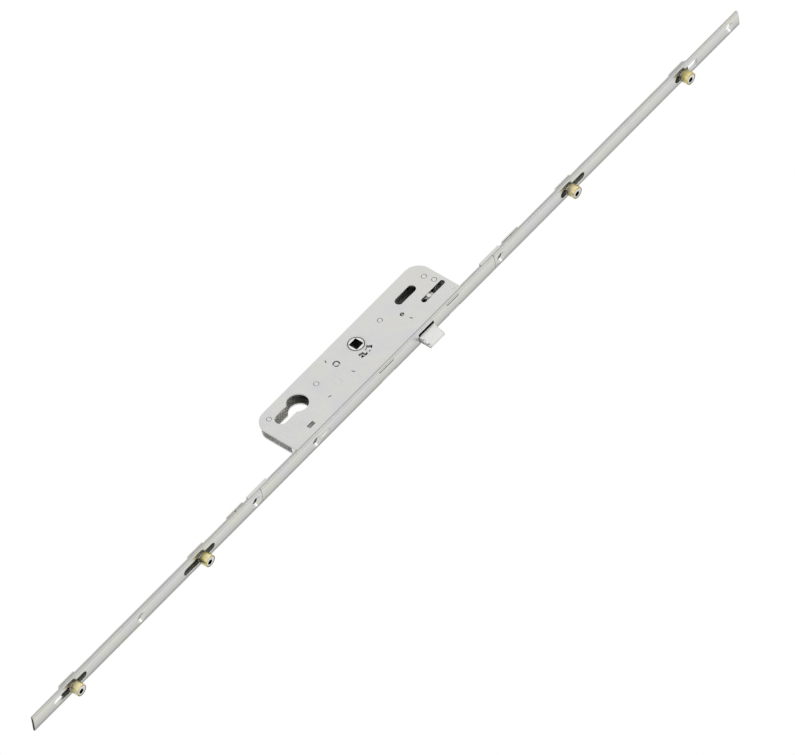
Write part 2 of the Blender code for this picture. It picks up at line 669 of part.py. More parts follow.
def make_lower_rods(material):
    """Lower drive rod, hooked on the bottom slide, and its extension with two stud holes."""
    end = CASE_BOTTOM - 2 * SEAT_GAP
    start = BOTTOM_TAB[1] + GUIDE_THICK
    outline = tongue_and_bar(end, start, LOWER_ROD_JOINT)
    peg_hole = COUPLER_PEG_RADIUS + SEAT_GAP
    holes = [circle((0.0, LOWER_ROD_JOINT + COUPLER_PEG_SPREAD), peg_hole, SMALL_ROUND)]
    holes.append(layer_notch(REAR_LAYER, BOTTOM_TAB))
    holes += [screw_clearance(level, -1) for level in SCREW_LEVELS if start > level > LOWER_ROD_JOINT]
    make_rod("lower_drive_rod", outline, holes, "bottom_slide_axis", material)
    high = LOWER_ROD_JOINT - JOINT_GAP
    low = ROLLERS["lower_outer"][0] - ROD_END_MARGIN
    outline = bar_outline(low, high, ROD_WIDTH, ROD_CORNER)
    holes = [circle((0.0, high - COUPLER_PEG_SPREAD), peg_hole, SMALL_ROUND)]
    for key in ("lower_inner", "lower_outer"):
        holes.append(circle((0.0, ROLLERS[key][0]), STUD_RADIUS + SEAT_GAP, SMALL_ROUND))
    holes += [screw_clearance(level, -1) for level in SCREW_LEVELS if low < level < high]
    make_rod("lower_extension_rod", outline, holes, "bottom_slide_axis", material)


def make_coupler(name, level, axis_name, material):
    """Plate behind a rod joint, with a peg in the end of each rod."""
    back = ROD_BACK - SEAT_GAP
    outline = bar_outline(level - COUPLER_HALF, level + COUPLER_HALF, ROD_WIDTH, ROD_CORNER)
    coupler = prism(name, outline, [], "X", back - COUPLER_THICK, back, material)
    for side in (-1, 1):
        center = (0.0, level + side * COUPLER_PEG_SPREAD)
        profile = [(0.0, back - COUPLER_THICK / 2), (COUPLER_PEG_RADIUS, back - COUPLER_THICK / 2),
                   (COUPLER_PEG_RADIUS, ROD_FRONT), (0.0, ROD_FRONT)]
        peg = turned(f"{name}_peg_{side + 2}", profile, "X", center, material, SMALL_ROUND)
        combine(coupler, peg, "UNION")
    hang_on(coupler, axis_name, (bpy.data.objects[axis_name].location))
    return coupler


def splice_outline(inner_half):
    """The U section of a splice across X and Y, open towards the faceplate."""
    front = -SEAT_GAP
    back = ROD_BACK - SEAT_GAP
    outer_half = inner_half + SPLICE_WALL
    return [(front, outer_half), (back - SPLICE_WALL, outer_half), (back - SPLICE_WALL, -outer_half),
            (front, -outer_half), (front, -inner_half), (back, -inner_half), (back, inner_half),
            (front, inner_half)]


def make_splice(name, span, material):
    """Folded splice behind a faceplate joint that keeps both lengths and the rods in line."""
    outline = splice_outline(ROD_WIDTH / 2 + RUN_GAP)
    splice = prism(name, outline, [], "Z", span[0], span[1], material)
    for level in SCREW_LEVELS:
        if span[0] < level < span[1]:
            low = ROD_BACK - SEAT_GAP - SPLICE_WALL - CUT_MARGIN
            profile = [(0.0, low), (SCREW_RADIUS, low), (SCREW_RADIUS, ROD_BACK), (0.0, ROD_BACK)]
            hole = turned(f"{name}_hole", profile, "X", (0.0, level), material, SMALL_ROUND)
            combine(splice, hole, "DIFFERENCE")
    return splice


def make_faceplate(name, low, high, material):
    """One length of faceplate with rounded front edges, its screw holes, slots and notches."""
    half = FACE_WIDTH / 2
    radius = FACE_EDGE_RADIUS
    section = [(0.0, half), (0.0, -half)]
    section += arc((FACE_THICK - radius, -half + radius), radius, -90.0, 0.0, 5)
    section += arc((FACE_THICK - radius, half - radius), radius, 0.0, 90.0, 5)
    plate = prism(name, section, [], "Z", low, high, material)
    below = -CUT_MARGIN
    above = FACE_THICK + CUT_MARGIN
    for level in SCREW_LEVELS:
        if low < level < high:
            flare = SCREW_HEAD_RADIUS - SCREW_RADIUS
            profile = [(0.0, below), (SCREW_RADIUS, below), (SCREW_RADIUS, FACE_THICK - flare),
                       (SCREW_HEAD_RADIUS, FACE_THICK), (SCREW_HEAD_RADIUS, above), (0.0, above)]
            sink = turned(f"{name}_screw", profile, "X", (0.0, level), material, 24)
            combine(plate, sink, "DIFFERENCE")
    for level, up, down in ROLLERS.values():
        if low < level < high:
            outline = slot_outline(0.0, level - down, level + up, 2 * (STUD_RADIUS + RUN_GAP))
            slot = prism(f"{name}_slot", outline, [], "X", below, above, material)
            combine(plate, slot, "DIFFERENCE")
    return plate


def cut_centre_openings(plate, material):
    """Latch opening, the slots that the case lugs fill and the pressed oblong mark."""
    below = -CUT_MARGIN
    above = FACE_THICK + CUT_MARGIN
    mark = slot_outline(0.0, PRESSED_LEVEL - PRESSED_LENGTH / 2, PRESSED_LEVEL + PRESSED_LENGTH / 2,
                        PRESSED_WIDTH)
    mark_bottom = FACE_THICK - PRESSED_DEPTH
    combine(plate, prism("pressed_mark", mark, [], "X", mark_bottom, above, material), "DIFFERENCE")
    top = LATCH_LEVEL + LATCH_HEIGHT / 2 + RUN_GAP
    bottom = LATCH_LEVEL - LATCH_HEIGHT / 2 - RUN_GAP
    near_gap = FACE_WIDTH / 2 - 2 * SHEET - RUN_GAP
    outline = box_outline((-near_gap, bottom), (LATCH_SIDES[1] + RUN_GAP, top))
    combine(plate, prism("latch_opening", outline, [], "X", below, above, material), "DIFFERENCE")
    for index, (low, high) in enumerate(LUG_SPANS):
        for side in (-1, 1):
            inner = side * (FAR_INNER - SEAT_GAP)
            outer = side * (FAR_SIDE + SEAT_GAP)
            first = (min(inner, outer), low - SEAT_GAP)
            second = (max(inner, outer), high + SEAT_GAP)
            slot = prism(f"lug_slot_{index}_{side + 1}", box_outline(first, second), [], "X",
                         below, above, material)
            combine(plate, slot, "DIFFERENCE")


def make_carrier(key, axis_name, material):
    """Block riveted behind the rod that carries a roller's stud."""
    level = ROLLERS[key][0]
    back = ROD_BACK - SEAT_GAP
    outline = bar_outline(level - CARRIER_LENGTH / 2, level + CARRIER_LENGTH / 2, ROD_WIDTH,
                          CARRIER_CORNER)
    hole = circle((0.0, level), STUD_RADIUS + SEAT_GAP, SMALL_ROUND)
    carrier = prism(f"{key}_carrier", outline, [hole], "X", back - CARRIER_THICK, back, material)
    hang_on(carrier, axis_name, (bpy.data.objects[axis_name].location))
    return carrier


def roller_axis(key):
    """Where a roller turns: beside its stud's own axis by the eccentric throw."""
    return (-ECCENTRIC, ROLLERS[key][0] + ECCENTRIC)


def make_stud(key, axis_name, material):
    """Eccentric stud: a shank through rod and carrier, and an offset pin for the roller."""
    shank_axis = (0.0, ROLLERS[key][0])
    rear = ROD_BACK - 2 * SEAT_GAP - CARRIER_THICK
    flange = FACE_THICK + RUN_GAP
    seat = flange + STUD_FLANGE
    tip = seat + RUN_GAP + ROLLER_LENGTH
    pin = ROLLER_RADIUS - ROLLER_WALL - RUN_GAP
    profile = [(0.0, rear - STUD_FLANGE), (STUD_RADIUS + STUD_FLANGE, rear - STUD_FLANGE),
               (STUD_RADIUS + STUD_FLANGE, rear), (STUD_RADIUS, rear), (STUD_RADIUS, flange),
               (pin + 2 * ECCENTRIC, flange), (pin + 2 * ECCENTRIC, seat), (0.0, seat)]
    stud = turned(f"{key}_stud", profile, "X", shank_axis, material, 20)
    lip = ROLLER_LIP - RUN_GAP
    head = ROLLER_RADIUS - ROLLER_RIM - RUN_GAP
    profile = [(0.0, flange + STUD_FLANGE / 2), (pin, flange + STUD_FLANGE / 2), (pin, tip - lip),
               (head, tip - lip), (head, tip), (0.0, tip)]
    combine(stud, turned(f"{key}_pin", profile, "X", roller_axis(key), material, 20), "UNION")
    outline = circle(shank_axis, HEX_ACROSS / math.sqrt(3.0), 6)
    socket = prism(f"{key}_hex", outline, [], "X", tip - HEX_DEPTH, tip + CUT_MARGIN, material)
    combine(stud, socket, "DIFFERENCE")
    hang_on(stud, axis_name, (bpy.data.objects[axis_name].location))
    return stud


def make_roller(key, material):
    """Turned sleeve that rolls on the stud's offset pin, recessed for the pin's head."""
    level = roller_axis(key)
    bore = ROLLER_RADIUS - ROLLER_WALL
    near = FACE_THICK + 2 * RUN_GAP + STUD_FLANGE
    far = near + ROLLER_LENGTH
    edge = RUN_GAP
    recess = ROLLER_RADIUS - ROLLER_RIM
    profile = [(bore, near), (ROLLER_RADIUS - edge, near), (ROLLER_RADIUS, near + edge),
               (ROLLER_RADIUS, far - edge), (ROLLER_RADIUS - edge, far), (recess, far),
               (recess, far - ROLLER_LIP), (bore, far - ROLLER_LIP)]
    roller = turned(f"{key}_roller", profile, "X", level, material)
    hang_on(roller, f"{key}_roller_axis", (near, *level))
    return roller


def make_latch(material):
    """Bevelled latch bolt with the stem that carries its spring and draw pin."""
    near, far = LATCH_SIDES
    front = FACE_THICK + LATCH_REACH
    outline = [(LATCH_BACK, near), (FACE_THICK, near), (front, far - LATCH_TIP), (front, far),
               (LATCH_BACK, far)]
    low = LATCH_LEVEL - LATCH_HEIGHT / 2
    latch = prism("latch_bolt", outline, [], "Z", low, low + LATCH_HEIGHT, material)
    stem_low = LATCH_STEM_LEVEL - LATCH_STEM_HEIGHT / 2
    stem_outline = box_outline((LATCH_STEM_END, stem_low),
                               (LATCH_BACK + CUT_MARGIN, stem_low + LATCH_STEM_HEIGHT))
    stem = prism("latch_stem", stem_outline, [], "Y", *LATCH_STEM_SIDES, material)
    combine(latch, stem, "UNION")
    pin_far = LATCH_STEM_SIDES[0] + RUN_GAP
    profile = [(0.0, LEVER_SIDES[0]), (LATCH_PIN_RADIUS, LEVER_SIDES[0]), (LATCH_PIN_RADIUS, pin_far),
               (0.0, pin_far)]
    pin = turned("latch_pin", profile, "Y", (LATCH_PIN_X, LATCH_STEM_LEVEL), material, SMALL_ROUND)
    combine(latch, pin, "UNION")
    hang_on(latch, "latch_axis", (FACE_THICK, 0.0, LATCH_LEVEL))
    return latch


def make_latch_guide(material):
    """Block on the tray with an open groove that guides the latch's stem and backs its spring."""
    low = LATCH_STEM_LEVEL - GUIDE_HEIGHT / 2
    high = low + GUIDE_HEIGHT
    near = LEVER_SIDES[1] + RUN_GAP
    far = FAR_INNER - SEAT_GAP
    stem_low = LATCH_STEM_LEVEL - LATCH_STEM_HEIGHT / 2 - RUN_GAP
    stem_high = LATCH_STEM_LEVEL + LATCH_STEM_HEIGHT / 2 + RUN_GAP
    groove = LATCH_STEM_SIDES[1] + RUN_GAP
    outline = [(near, low), (far, low), (far, high), (near, high), (near, stem_high),
               (groove, stem_high), (groove, stem_low), (near, stem_low)]
    return prism("latch_guide", outline, [], "X", GUIDE_FRONT - GUIDE_THICK, GUIDE_FRONT, material)


def make_latch_spring(material):
    """Compression spring round the latch's stem, from the guide to the bolt's back."""
    first = GUIDE_FRONT + SEAT_GAP + SPRING_WIRE
    last = LATCH_BACK - SEAT_GAP - SPRING_WIRE
    center_y = (LATCH_STEM_SIDES[0] + LATCH_STEM_SIDES[1]) / 2
    steps = SPRING_TURNS * 12
    curve = bpy.data.curves.new("latch_spring", "CURVE")
    curve.dimensions = "3D"
    curve.bevel_depth = SPRING_WIRE
    curve.bevel_resolution = 1
    curve.use_fill_caps = True
    spline = curve.splines.new("POLY")
    spline.points.add(steps)
    for step in range(steps + 1):
        angle = math.tau * SPRING_TURNS * step / steps
        x = first + (last - first) * step / steps
        y = center_y + SPRING_RADIUS * math.cos(angle)
        z = LATCH_STEM_LEVEL + SPRING_RADIUS * math.sin(angle)
        spline.points[step].co = (x, y, z, 1.0)
    curve.materials.append(material)
    spring = bpy.data.objects.new("latch_spring", curve)
    bpy.context.collection.objects.link(spring)
    hang_on(spring, "latch_axis", (FACE_THICK, 0.0, LATCH_LEVEL))
    return spring


def make_latch_lever(material):
    """Two-armed lever: its fork draws the latch's pin back, its tail meets the hub's cam."""
    pivot = (SPINDLE_X, LEVER_LEVEL)
    boss = LEVER_BOSS_RADIUS
    gap = LATCH_PIN_RADIUS + LEVER_FORK_GAP
    fork_root = LATCH_STEM_LEVEL - LATCH_PIN_RADIUS - 2 * RUN_GAP
    fork_top = LATCH_STEM_LEVEL + 2 * LATCH_PIN_RADIUS
    wall = LEVER_ARM / 2
    tail = BARREL_RADIUS + 4 * RUN_GAP
    half = LEVER_ARM / 2
    side = math.degrees(math.asin(half / boss))
    fork_low = fork_root - LEVER_ARM
    left = LATCH_PIN_X - gap
    right = LATCH_PIN_X + gap
    outline = arc(pivot, boss, -90.0 + side, 90.0 - side, 8)
    outline += [(right + wall, fork_low), (right + wall, fork_top), (right, fork_top), (right, fork_root)]
    outline += [(left, fork_root), (left, fork_top), (left - wall, fork_top), (left - wall, fork_low)]
    outline += arc(pivot, boss, 90.0 + side, 270.0 - side, 8)
    outline += [(SPINDLE_X - half, tail), (SPINDLE_X + half, tail)]
    hole = circle(pivot, POST_RADIUS + RUN_GAP, SMALL_ROUND)
    lever = prism("latch_lever", outline, [hole], "Y", *LEVER_SIDES, material)
    hang_on(lever, "latch_lever_axis", (SPINDLE_X, 0.0, LEVER_LEVEL))
    return lever


def make_locking_lever(material):
    """Lever over the cylinder hole: a foot for the key cam, and a peg that enters the bottom slide."""
    pivot = (SPINDLE_X, LOCK_LEVER_LEVEL)
    width = LOCK_LEVER_WIDTH / 2
    half = math.degrees(math.asin(width / LEVER_BOSS_RADIUS))
    foot_end = (pivot[0] + LOCK_FOOT_LENGTH * math.cos(math.radians(LOCK_FOOT_ANGLE)),
                pivot[1] + LOCK_FOOT_LENGTH * math.sin(math.radians(LOCK_FOOT_ANGLE)))
    outline = arc(lock_peg_place(0.0), width, LOCK_LEVER_ANGLE - 90.0, LOCK_LEVER_ANGLE + 90.0, 6)
    outline += arc(pivot, LEVER_BOSS_RADIUS, LOCK_LEVER_ANGLE + half, LOCK_FOOT_ANGLE - half + 360.0, 14)
    outline += arc(foot_end, width / 2, LOCK_FOOT_ANGLE - 90.0, LOCK_FOOT_ANGLE + 90.0, 4)
    hole = circle(pivot, POST_RADIUS + RUN_GAP, SMALL_ROUND)
    lever = prism("locking_lever", outline, [hole], "Y", *FRONT_LAYER, material)
    profile = [(0.0, FRONT_LAYER[1] - RUN_GAP), (LOCK_PEG_RADIUS, FRONT_LAYER[1] - RUN_GAP),
               (LOCK_PEG_RADIUS, REAR_LAYER[1]), (0.0, REAR_LAYER[1])]
    peg = turned("locking_peg", profile, "Y", lock_peg_place(0.0), material, SMALL_ROUND)
    combine(lever, peg, "UNION")
    hang_on(lever, "locking_lever_axis", (SPINDLE_X, 0.0, LOCK_LEVER_LEVEL))
    return lever


def main():
    """Build the whole lock."""
    clear_scene()
    zinc = make_material("zinc_plated_steel", (0.66, 0.66, 0.64), 0.9, 0.38)
    drawn = make_material("drawn_steel", (0.55, 0.55, 0.54), 1.0, 0.35)
    cast = make_material("cast_zinc", (0.60, 0.60, 0.58), 0.9, 0.45)
    gold = make_material("yellow_passivated_steel", (0.72, 0.60, 0.25), 1.0, 0.35)
    spring_steel = make_material("spring_steel", (0.35, 0.35, 0.36), 1.0, 0.30)

    centre = make_faceplate("centre_faceplate", CENTRE_BOTTOM, CENTRE_TOP, zinc)
    cut_centre_openings(centre, zinc)
    make_faceplate("upper_faceplate", CENTRE_TOP + JOINT_GAP, STRIP_TOP, zinc)
    make_faceplate("lower_faceplate", STRIP_BOTTOM, CENTRE_BOTTOM - JOINT_GAP, zinc)
    make_cover(zinc)
    make_tray(zinc)
    for index, place in enumerate(RIVET_PLACES, start=1):
        make_post(f"case_rivet_{index}", place, drawn)
    make_post("idler_axle", (SPINDLE_X, IDLER_LEVEL), drawn)
    make_post("latch_lever_pivot", (SPINDLE_X, LEVER_LEVEL), drawn)
    make_post("locking_lever_pivot", (SPINDLE_X, LOCK_LEVER_LEVEL), drawn)
    make_bush("near_hub_bush", NEAR_SIDE, NEAR_INNER, drawn)
    make_bush("far_hub_bush", FAR_INNER, FAR_SIDE, drawn)
    make_follower(cast)
    make_idler(cast)
    make_top_slide(drawn)
    make_slide_pin(drawn)
    make_bottom_slide(drawn)
    make_upper_rods(drawn)
    make_lower_rods(drawn)
    make_coupler("upper_rod_coupler", UPPER_ROD_JOINT, "top_slide_axis", drawn)
    make_coupler("lower_rod_coupler", LOWER_ROD_JOINT, "bottom_slide_axis", drawn)
    for key in ROLLERS:
        axis_name = "top_slide_axis" if key.startswith("upper") else "bottom_slide_axis"
        make_carrier(key, axis_name, drawn)
        make_stud(key, axis_name, drawn)
        make_roller(key, gold)
    make_splice("upper_splice", (CENTRE_TOP - SPLICE_HALF, CENTRE_TOP + SPLICE_HALF), zinc)
    make_splice("lower_splice", (CENTRE_BOTTOM - SPLICE_HALF, CENTRE_BOTTOM + SPLICE_HALF), zinc)
    make_latch(cast)
    make_latch_guide(cast)
    make_latch_spring(spring_steel)
    make_latch_lever(drawn)
    make_locking_lever(drawn)


main()
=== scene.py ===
"""Looks of a multipoint door lock: plated sheet case, long faceplate, latch and roller cams.

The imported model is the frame. Lengths are metres: +Z runs up along the strip, +X points out of the
faceplate, and the near case plate faces -Y.
"""

import json
import logging
import math
from dataclasses import dataclass, field
from enum import Enum

import bmesh
import bpy
from mathutils import Matrix, Vector


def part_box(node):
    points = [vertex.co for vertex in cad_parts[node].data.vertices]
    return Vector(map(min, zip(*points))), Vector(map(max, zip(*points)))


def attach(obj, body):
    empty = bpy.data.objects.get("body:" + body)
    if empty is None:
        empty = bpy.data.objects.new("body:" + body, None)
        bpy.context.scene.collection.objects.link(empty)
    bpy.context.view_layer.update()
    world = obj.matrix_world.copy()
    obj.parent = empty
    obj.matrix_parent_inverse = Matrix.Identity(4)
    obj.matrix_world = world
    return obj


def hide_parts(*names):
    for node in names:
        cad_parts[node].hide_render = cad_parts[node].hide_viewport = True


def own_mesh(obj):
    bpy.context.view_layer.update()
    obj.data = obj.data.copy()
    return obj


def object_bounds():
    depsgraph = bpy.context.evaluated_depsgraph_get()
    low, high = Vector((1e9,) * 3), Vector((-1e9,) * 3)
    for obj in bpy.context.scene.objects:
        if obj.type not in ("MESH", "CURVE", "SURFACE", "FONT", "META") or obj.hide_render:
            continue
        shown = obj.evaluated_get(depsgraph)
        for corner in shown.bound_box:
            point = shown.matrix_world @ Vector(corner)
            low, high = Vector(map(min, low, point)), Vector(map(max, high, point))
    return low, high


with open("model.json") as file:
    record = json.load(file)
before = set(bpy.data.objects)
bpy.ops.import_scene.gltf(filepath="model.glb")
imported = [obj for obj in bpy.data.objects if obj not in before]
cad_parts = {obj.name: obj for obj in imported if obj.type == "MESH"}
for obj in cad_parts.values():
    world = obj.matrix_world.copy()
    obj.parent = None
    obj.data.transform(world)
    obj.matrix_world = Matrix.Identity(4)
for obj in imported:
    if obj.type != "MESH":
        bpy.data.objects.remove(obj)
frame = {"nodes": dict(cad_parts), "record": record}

CAD_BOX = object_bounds()
LOG = logging.getLogger("lock")
NODES = frame["nodes"]
BODY_OF = {node: body for body, nodes in frame["record"]["behaviour"]["bodies"].items() for node in nodes}

Loop = list[tuple[float, float]]
Contour = list[tuple[Loop, float]]
Mesh = bmesh.types.BMesh
Ring = list[bmesh.types.BMVert]
Socket = bpy.types.NodeSocket
Tree = bpy.types.NodeTree

MM = 0.001

# Places along the strip that the solids' boxes don't give: screws, and the case's lugs in the strip.
SCREW_LEVELS = (413.0 * MM, 133.5 * MM, -87.5 * MM, -159.0 * MM, -295.0 * MM)
LUG_SPANS = ((70.0 * MM, 83.0 * MM), (-11.0 * MM, 5.0 * MM))
# How far the slot of each roller cam's stud reaches above and below the stud.
ROLLER_SLOTS = {
    "upper_outer": (18.5 * MM, 8.5 * MM),
    "upper_inner": (19.0 * MM, 9.5 * MM),
    "lower_inner": (15.5 * MM, 20.5 * MM),
    "lower_outer": (16.0 * MM, 21.5 * MM),
}
# Running gap between two pieces, and the thickness of the case's plates.
FIT = 0.3 * MM
PLATE = 1.5 * MM
# A noise texture's values lie mostly between these two.
NOISE_RANGE = {"From Min": 0.3, "From Max": 0.7}


class Axis(Enum):
    """Direction along which a shape is drawn out or turned."""

    X = 0
    Y = 1
    Z = 2

    def place(self, u: float, v: float, height: float) -> Vector:
        """Point from two flat coordinates and a height along the axis.

        Args:
            u: the first of the two other coordinates, in X, Y, Z order.
            v: the second.
            height: place along the axis.

        Returns:
            The point.
        """
        values = [u, v]
        values.insert(self.value, height)
        return Vector(values)


def to_linear(code: str) -> tuple[float, float, float, float]:
    """Turn an sRGB hex colour into linear values.

    Args:
        code: six hex digits after a hash sign.

    Returns:
        Red, green, blue and a full alpha.
    """
    parts = [int(code[at:at + 2], 16) / 255 for at in (1, 3, 5)]
    linear = [part / 12.92 if part <= 0.04045 else ((part + 0.055) / 1.055) ** 2.4 for part in parts]
    return (*linear, 1.0)


def add_node(tree: Tree, kind: str, settings: dict | None = None,
             links: dict | None = None) -> bpy.types.Node:
    """Add a node with its settings and its incoming links.

    Args:
        tree: node tree to add to.
        kind: node type.
        settings: values of the node's own properties, or of its input sockets by name or number.
        links: output sockets to join, by the name or number of the input socket.

    Returns:
        The new node.
    """
    node = tree.nodes.new(kind)
    for key, value in (settings or {}).items():
        if isinstance(key, str) and hasattr(node, key):
            setattr(node, key, value)
        else:
            node.inputs[key].default_value = value
    for key, output in (links or {}).items():
        tree.links.new(output, node.inputs[key])
    return node


def set_stops(ramp: bpy.types.Node, stops: list[tuple[float, str]]) -> None:
    """Give a colour ramp its stops.

    Args:
        ramp: the colour ramp.
        stops: a place from 0 to 1 and a hex colour each.
    """
    elements = ramp.color_ramp.elements
    while len(elements) < len(stops):
        elements.new(0.5)
    for element, (place, code) in zip(elements, stops):
        element.position = place
        element.color = to_linear(code)


@dataclass(frozen=True)
class MetalFinish:
    """A plated or bare metal: base colour with soft patches, and a directed grain.

    Patches stand for the plating's uneven film, and the grain for the way the surface was made.

    Args:
        title: name of the material.
        slot: the record's material slot; not used.
        tones: three sRGB colours that the film drifts between.
        roughness: the middle of its roughness.
        roughness_spread: how far the roughness drifts each way.
        patch_size: size of the soft patches.
        grain_size: spacing of the grain.
        grain_depth: height of the grain.
        stretch: scale of the grain along X, Y and Z, where less than 1 draws it out.
        grain_tone: how much the grain darkens the colour.
    """

    title: str
    slot: str
    tones: tuple[str, str, str]
    roughness: float
    roughness_spread: float
    patch_size: float
    grain_size: float
    grain_depth: float
    stretch: tuple[float, float, float] = (1.0, 1.0, 1.0)
    grain_tone: float = 0.10

    def greased(self, title: str, **changes: object) -> "PaintShadedFinish":
        """The same metal with painted light and shade, under a title of its own and with other changes."""
        return PaintShadedFinish(**{**vars(self), "title": title, **changes})

    def colour(self, tree: Tree, place: Socket) -> Socket:
        """Colour of the film: three tones over soft patches.

        Args:
            tree: the material's nodes.
            place: a point of the piece.

        Returns:
            The colour.
        """
        patches = add_node(tree, "ShaderNodeTexNoise",
                           {"Scale": 1.0 / self.patch_size, "Detail": 3.0, "Roughness": 0.55},
                           {"Vector": place})
        ramp = add_node(tree, "ShaderNodeValToRGB", links={"Fac": patches.outputs["Fac"]})
        set_stops(ramp, [(0.34, self.tones[0]), (0.50, self.tones[1]), (0.66, self.tones[2])])
        return ramp.outputs["Color"]

    def shade_hollows(self, tree: Tree, place: Socket, film: Socket) -> Socket:
        """Colour of the film with painted light and shade on it; a plain surface has none."""
        return film

    def material(self) -> bpy.types.Material:
        """Build the material once and give it back each time.

        Returns:
            The material.
        """
        known = bpy.data.materials.get(self.title)
        if known is not None:
            return known
        material = bpy.data.materials.new(self.title)
        material.use_nodes = True
        tree = material.node_tree
        shader = tree.nodes["Principled BSDF"]
        place = add_node(tree, "ShaderNodeTexCoord").outputs["Object"]
        stretched = add_node(tree, "ShaderNodeMapping", {"Scale": self.stretch}, {"Vector": place})
        grain = add_node(tree, "ShaderNodeTexNoise",
                         {"Scale": 1.0 / self.grain_size, "Detail": 2.0, "Roughness": 0.6},
                         {"Vector": stretched.outputs["Vector"]})
        tone = add_node(tree, "ShaderNodeMapRange",
                        {**NOISE_RANGE, "To Min": 1.0 - self.grain_tone, "To Max": 1.0},
                        {"Value": grain.outputs["Fac"]})
        shaded = add_node(tree, "ShaderNodeMix",
                          {"data_type": "RGBA", "blend_type": "MULTIPLY", "Factor": 1.0},
                          {6: self.colour(tree, place), 7: tone.outputs["Result"]})
        smudges = add_node(tree, "ShaderNodeTexNoise",
                           {"Scale": 0.4 / self.patch_size, "Detail": 4.0, "Roughness": 0.7},
                           {"Vector": place})
        gloss = add_node(tree, "ShaderNodeMapRange",
                         {**NOISE_RANGE, "To Min": self.roughness - self.roughness_spread,
                          "To Max": self.roughness + self.roughness_spread},
                         {"Value": smudges.outputs["Fac"]})
        relief = add_node(tree, "ShaderNodeBump", {"Strength": 1.0, "Distance": self.grain_depth},
                          {"Height": grain.outputs["Fac"]})
        shader.inputs["Metallic"].default_value = 1.0
        film = self.shade_hollows(tree, place, shaded.outputs[2])
        tree.links.new(film, shader.inputs["Base Color"])
        tree.links.new(gloss.outputs["Result"], shader.inputs["Roughness"])
        tree.links.new(relief.outputs["Normal"], shader.inputs["Normal"])
        return material


@dataclass(frozen=True)
class PaintShadedFinish(MetalFinish):
    """A metal with painted light and shade on its hidden faces, between two planes.

    Args:
        planes: the two places, along the axis in across, that the painted tone lies between.
        across: direction across the planes.
        grease: colour painted between the planes: painted light on the case, painted shade elsewhere.
        bore: half the side of a square bore. Above zero, the painted tone lies only inside it.
        centre: X and Z of the bore's axis.
        rim: inner and outer radius of a ring of painted shade round that axis.
        ring_shade_tone: colour of that ring.
        pool: the two heights where painted light also covers the plates' inner faces.
        thick_tone: colour of that painted light.
        film: how far it stands beyond the planes.
        line: depth of the line of painted shade in the inner half of each opening and groove.
        line_low: height where that line starts.
        hollow_shade_tone: colour of that painted shade.
        room: back wall, front and top of the case, where the painted light and the painted shade end.
    """

    planes: tuple[float, float] = (-4.95 * MM, 4.95 * MM)
    across: Axis = Axis.Y
    grease: str = "#EDEDE8"
    bore: float = 0.0
    centre: tuple[float, float] = (0.0, 0.0)
    rim: tuple[float, float] | None = None
    ring_shade_tone: str = "#6B6C66"
    pool: tuple[float, float] | None = None
    thick_tone: str = "#F0F0EB"
    film: float = 0.07 * MM
    line: float = 0.65 * MM
    line_low: float = -58.0 * MM
    hollow_shade_tone: str = "#5B5B54"
    room: tuple[float, float, float] = (-44.9 * MM, 6.0 * MM, 87.2 * MM)

    def coats(self) -> list[tuple[str, list[tuple[str, float, float]]]]:
        """List the coats of painted light and shade, from the first to the last.

        Returns:
            The colour of each coat, with the axes and the two values that it lies between there.
            Axis R is the distance from the bore's axis.
        """
        low, high = self.planes
        spans = [(self.across.name, low, high)]
        if self.bore > 0.0:
            spans += [(axis, middle - self.bore, middle + self.bore)
                      for axis, middle in zip("XZ", self.centre)]
        # The first coat: painted light on the case, painted shade on the other pieces.
        coats = [(self.grease, spans)]
        # A ring of painted shade round the bore's axis.
        if self.rim is not None:
            coats.append((self.ring_shade_tone, [("R", *self.rim)]))
        # On the case: painted light on the plates' inner faces in a band, then painted shade in the inner
        # half of each opening and groove.
        if self.pool is not None:
            back, front, top = self.room
            coats.append((self.thick_tone, [(self.across.name, low - self.film, high + self.film),
                                            ("Z", *self.pool), ("X", back, front)]))
            coats.append((self.hollow_shade_tone, [("Y", low - self.line, low), ("Z", self.line_low, top),
                                           ("X", back, front)]))
        return coats

    def shade_hollows(self, tree: Tree, place: Socket, film: Socket) -> Socket:
        """Lay the coats of painted light and shade over the metal's film.

        Args:
            tree: the material's nodes.
            place: a point of the piece.
            film: colour of the metal's film.

        Returns:
            The colour with the painted light and shade on it.
        """
        parts = add_node(tree, "ShaderNodeSeparateXYZ", links={"Vector": place})
        places = {axis: parts.outputs[axis] for axis in "XYZ"}
        if self.rim is not None:
            flat = add_node(tree, "ShaderNodeVectorMath",
                            {"operation": "MULTIPLY", 1: (1.0, 0.0, 1.0)}, {0: place})
            reach = add_node(tree, "ShaderNodeVectorMath",
                             {"operation": "DISTANCE", 1: (self.centre[0], 0.0, self.centre[1])},
                             {0: flat.outputs["Vector"]})
            places["R"] = reach.outputs["Value"]
        for tone, spans in self.coats():
            mask = None
            for axis, low, high in spans:
                inside = add_node(tree, "ShaderNodeMath",
                                  {"operation": "COMPARE", 1: (low + high) / 2, 2: (high - low) / 2},
                                  {0: places[axis]}).outputs["Value"]
                mask = inside if mask is None else add_node(
                    tree, "ShaderNodeMath", {"operation": "MULTIPLY"}, {0: mask, 1: inside}).outputs["Value"]
            film = add_node(tree, "ShaderNodeMix",
                            {"data_type": "RGBA", "blend_type": "MIX", 7: to_linear(tone)},
                            {0: mask, 6: film}).outputs[2]
        return film


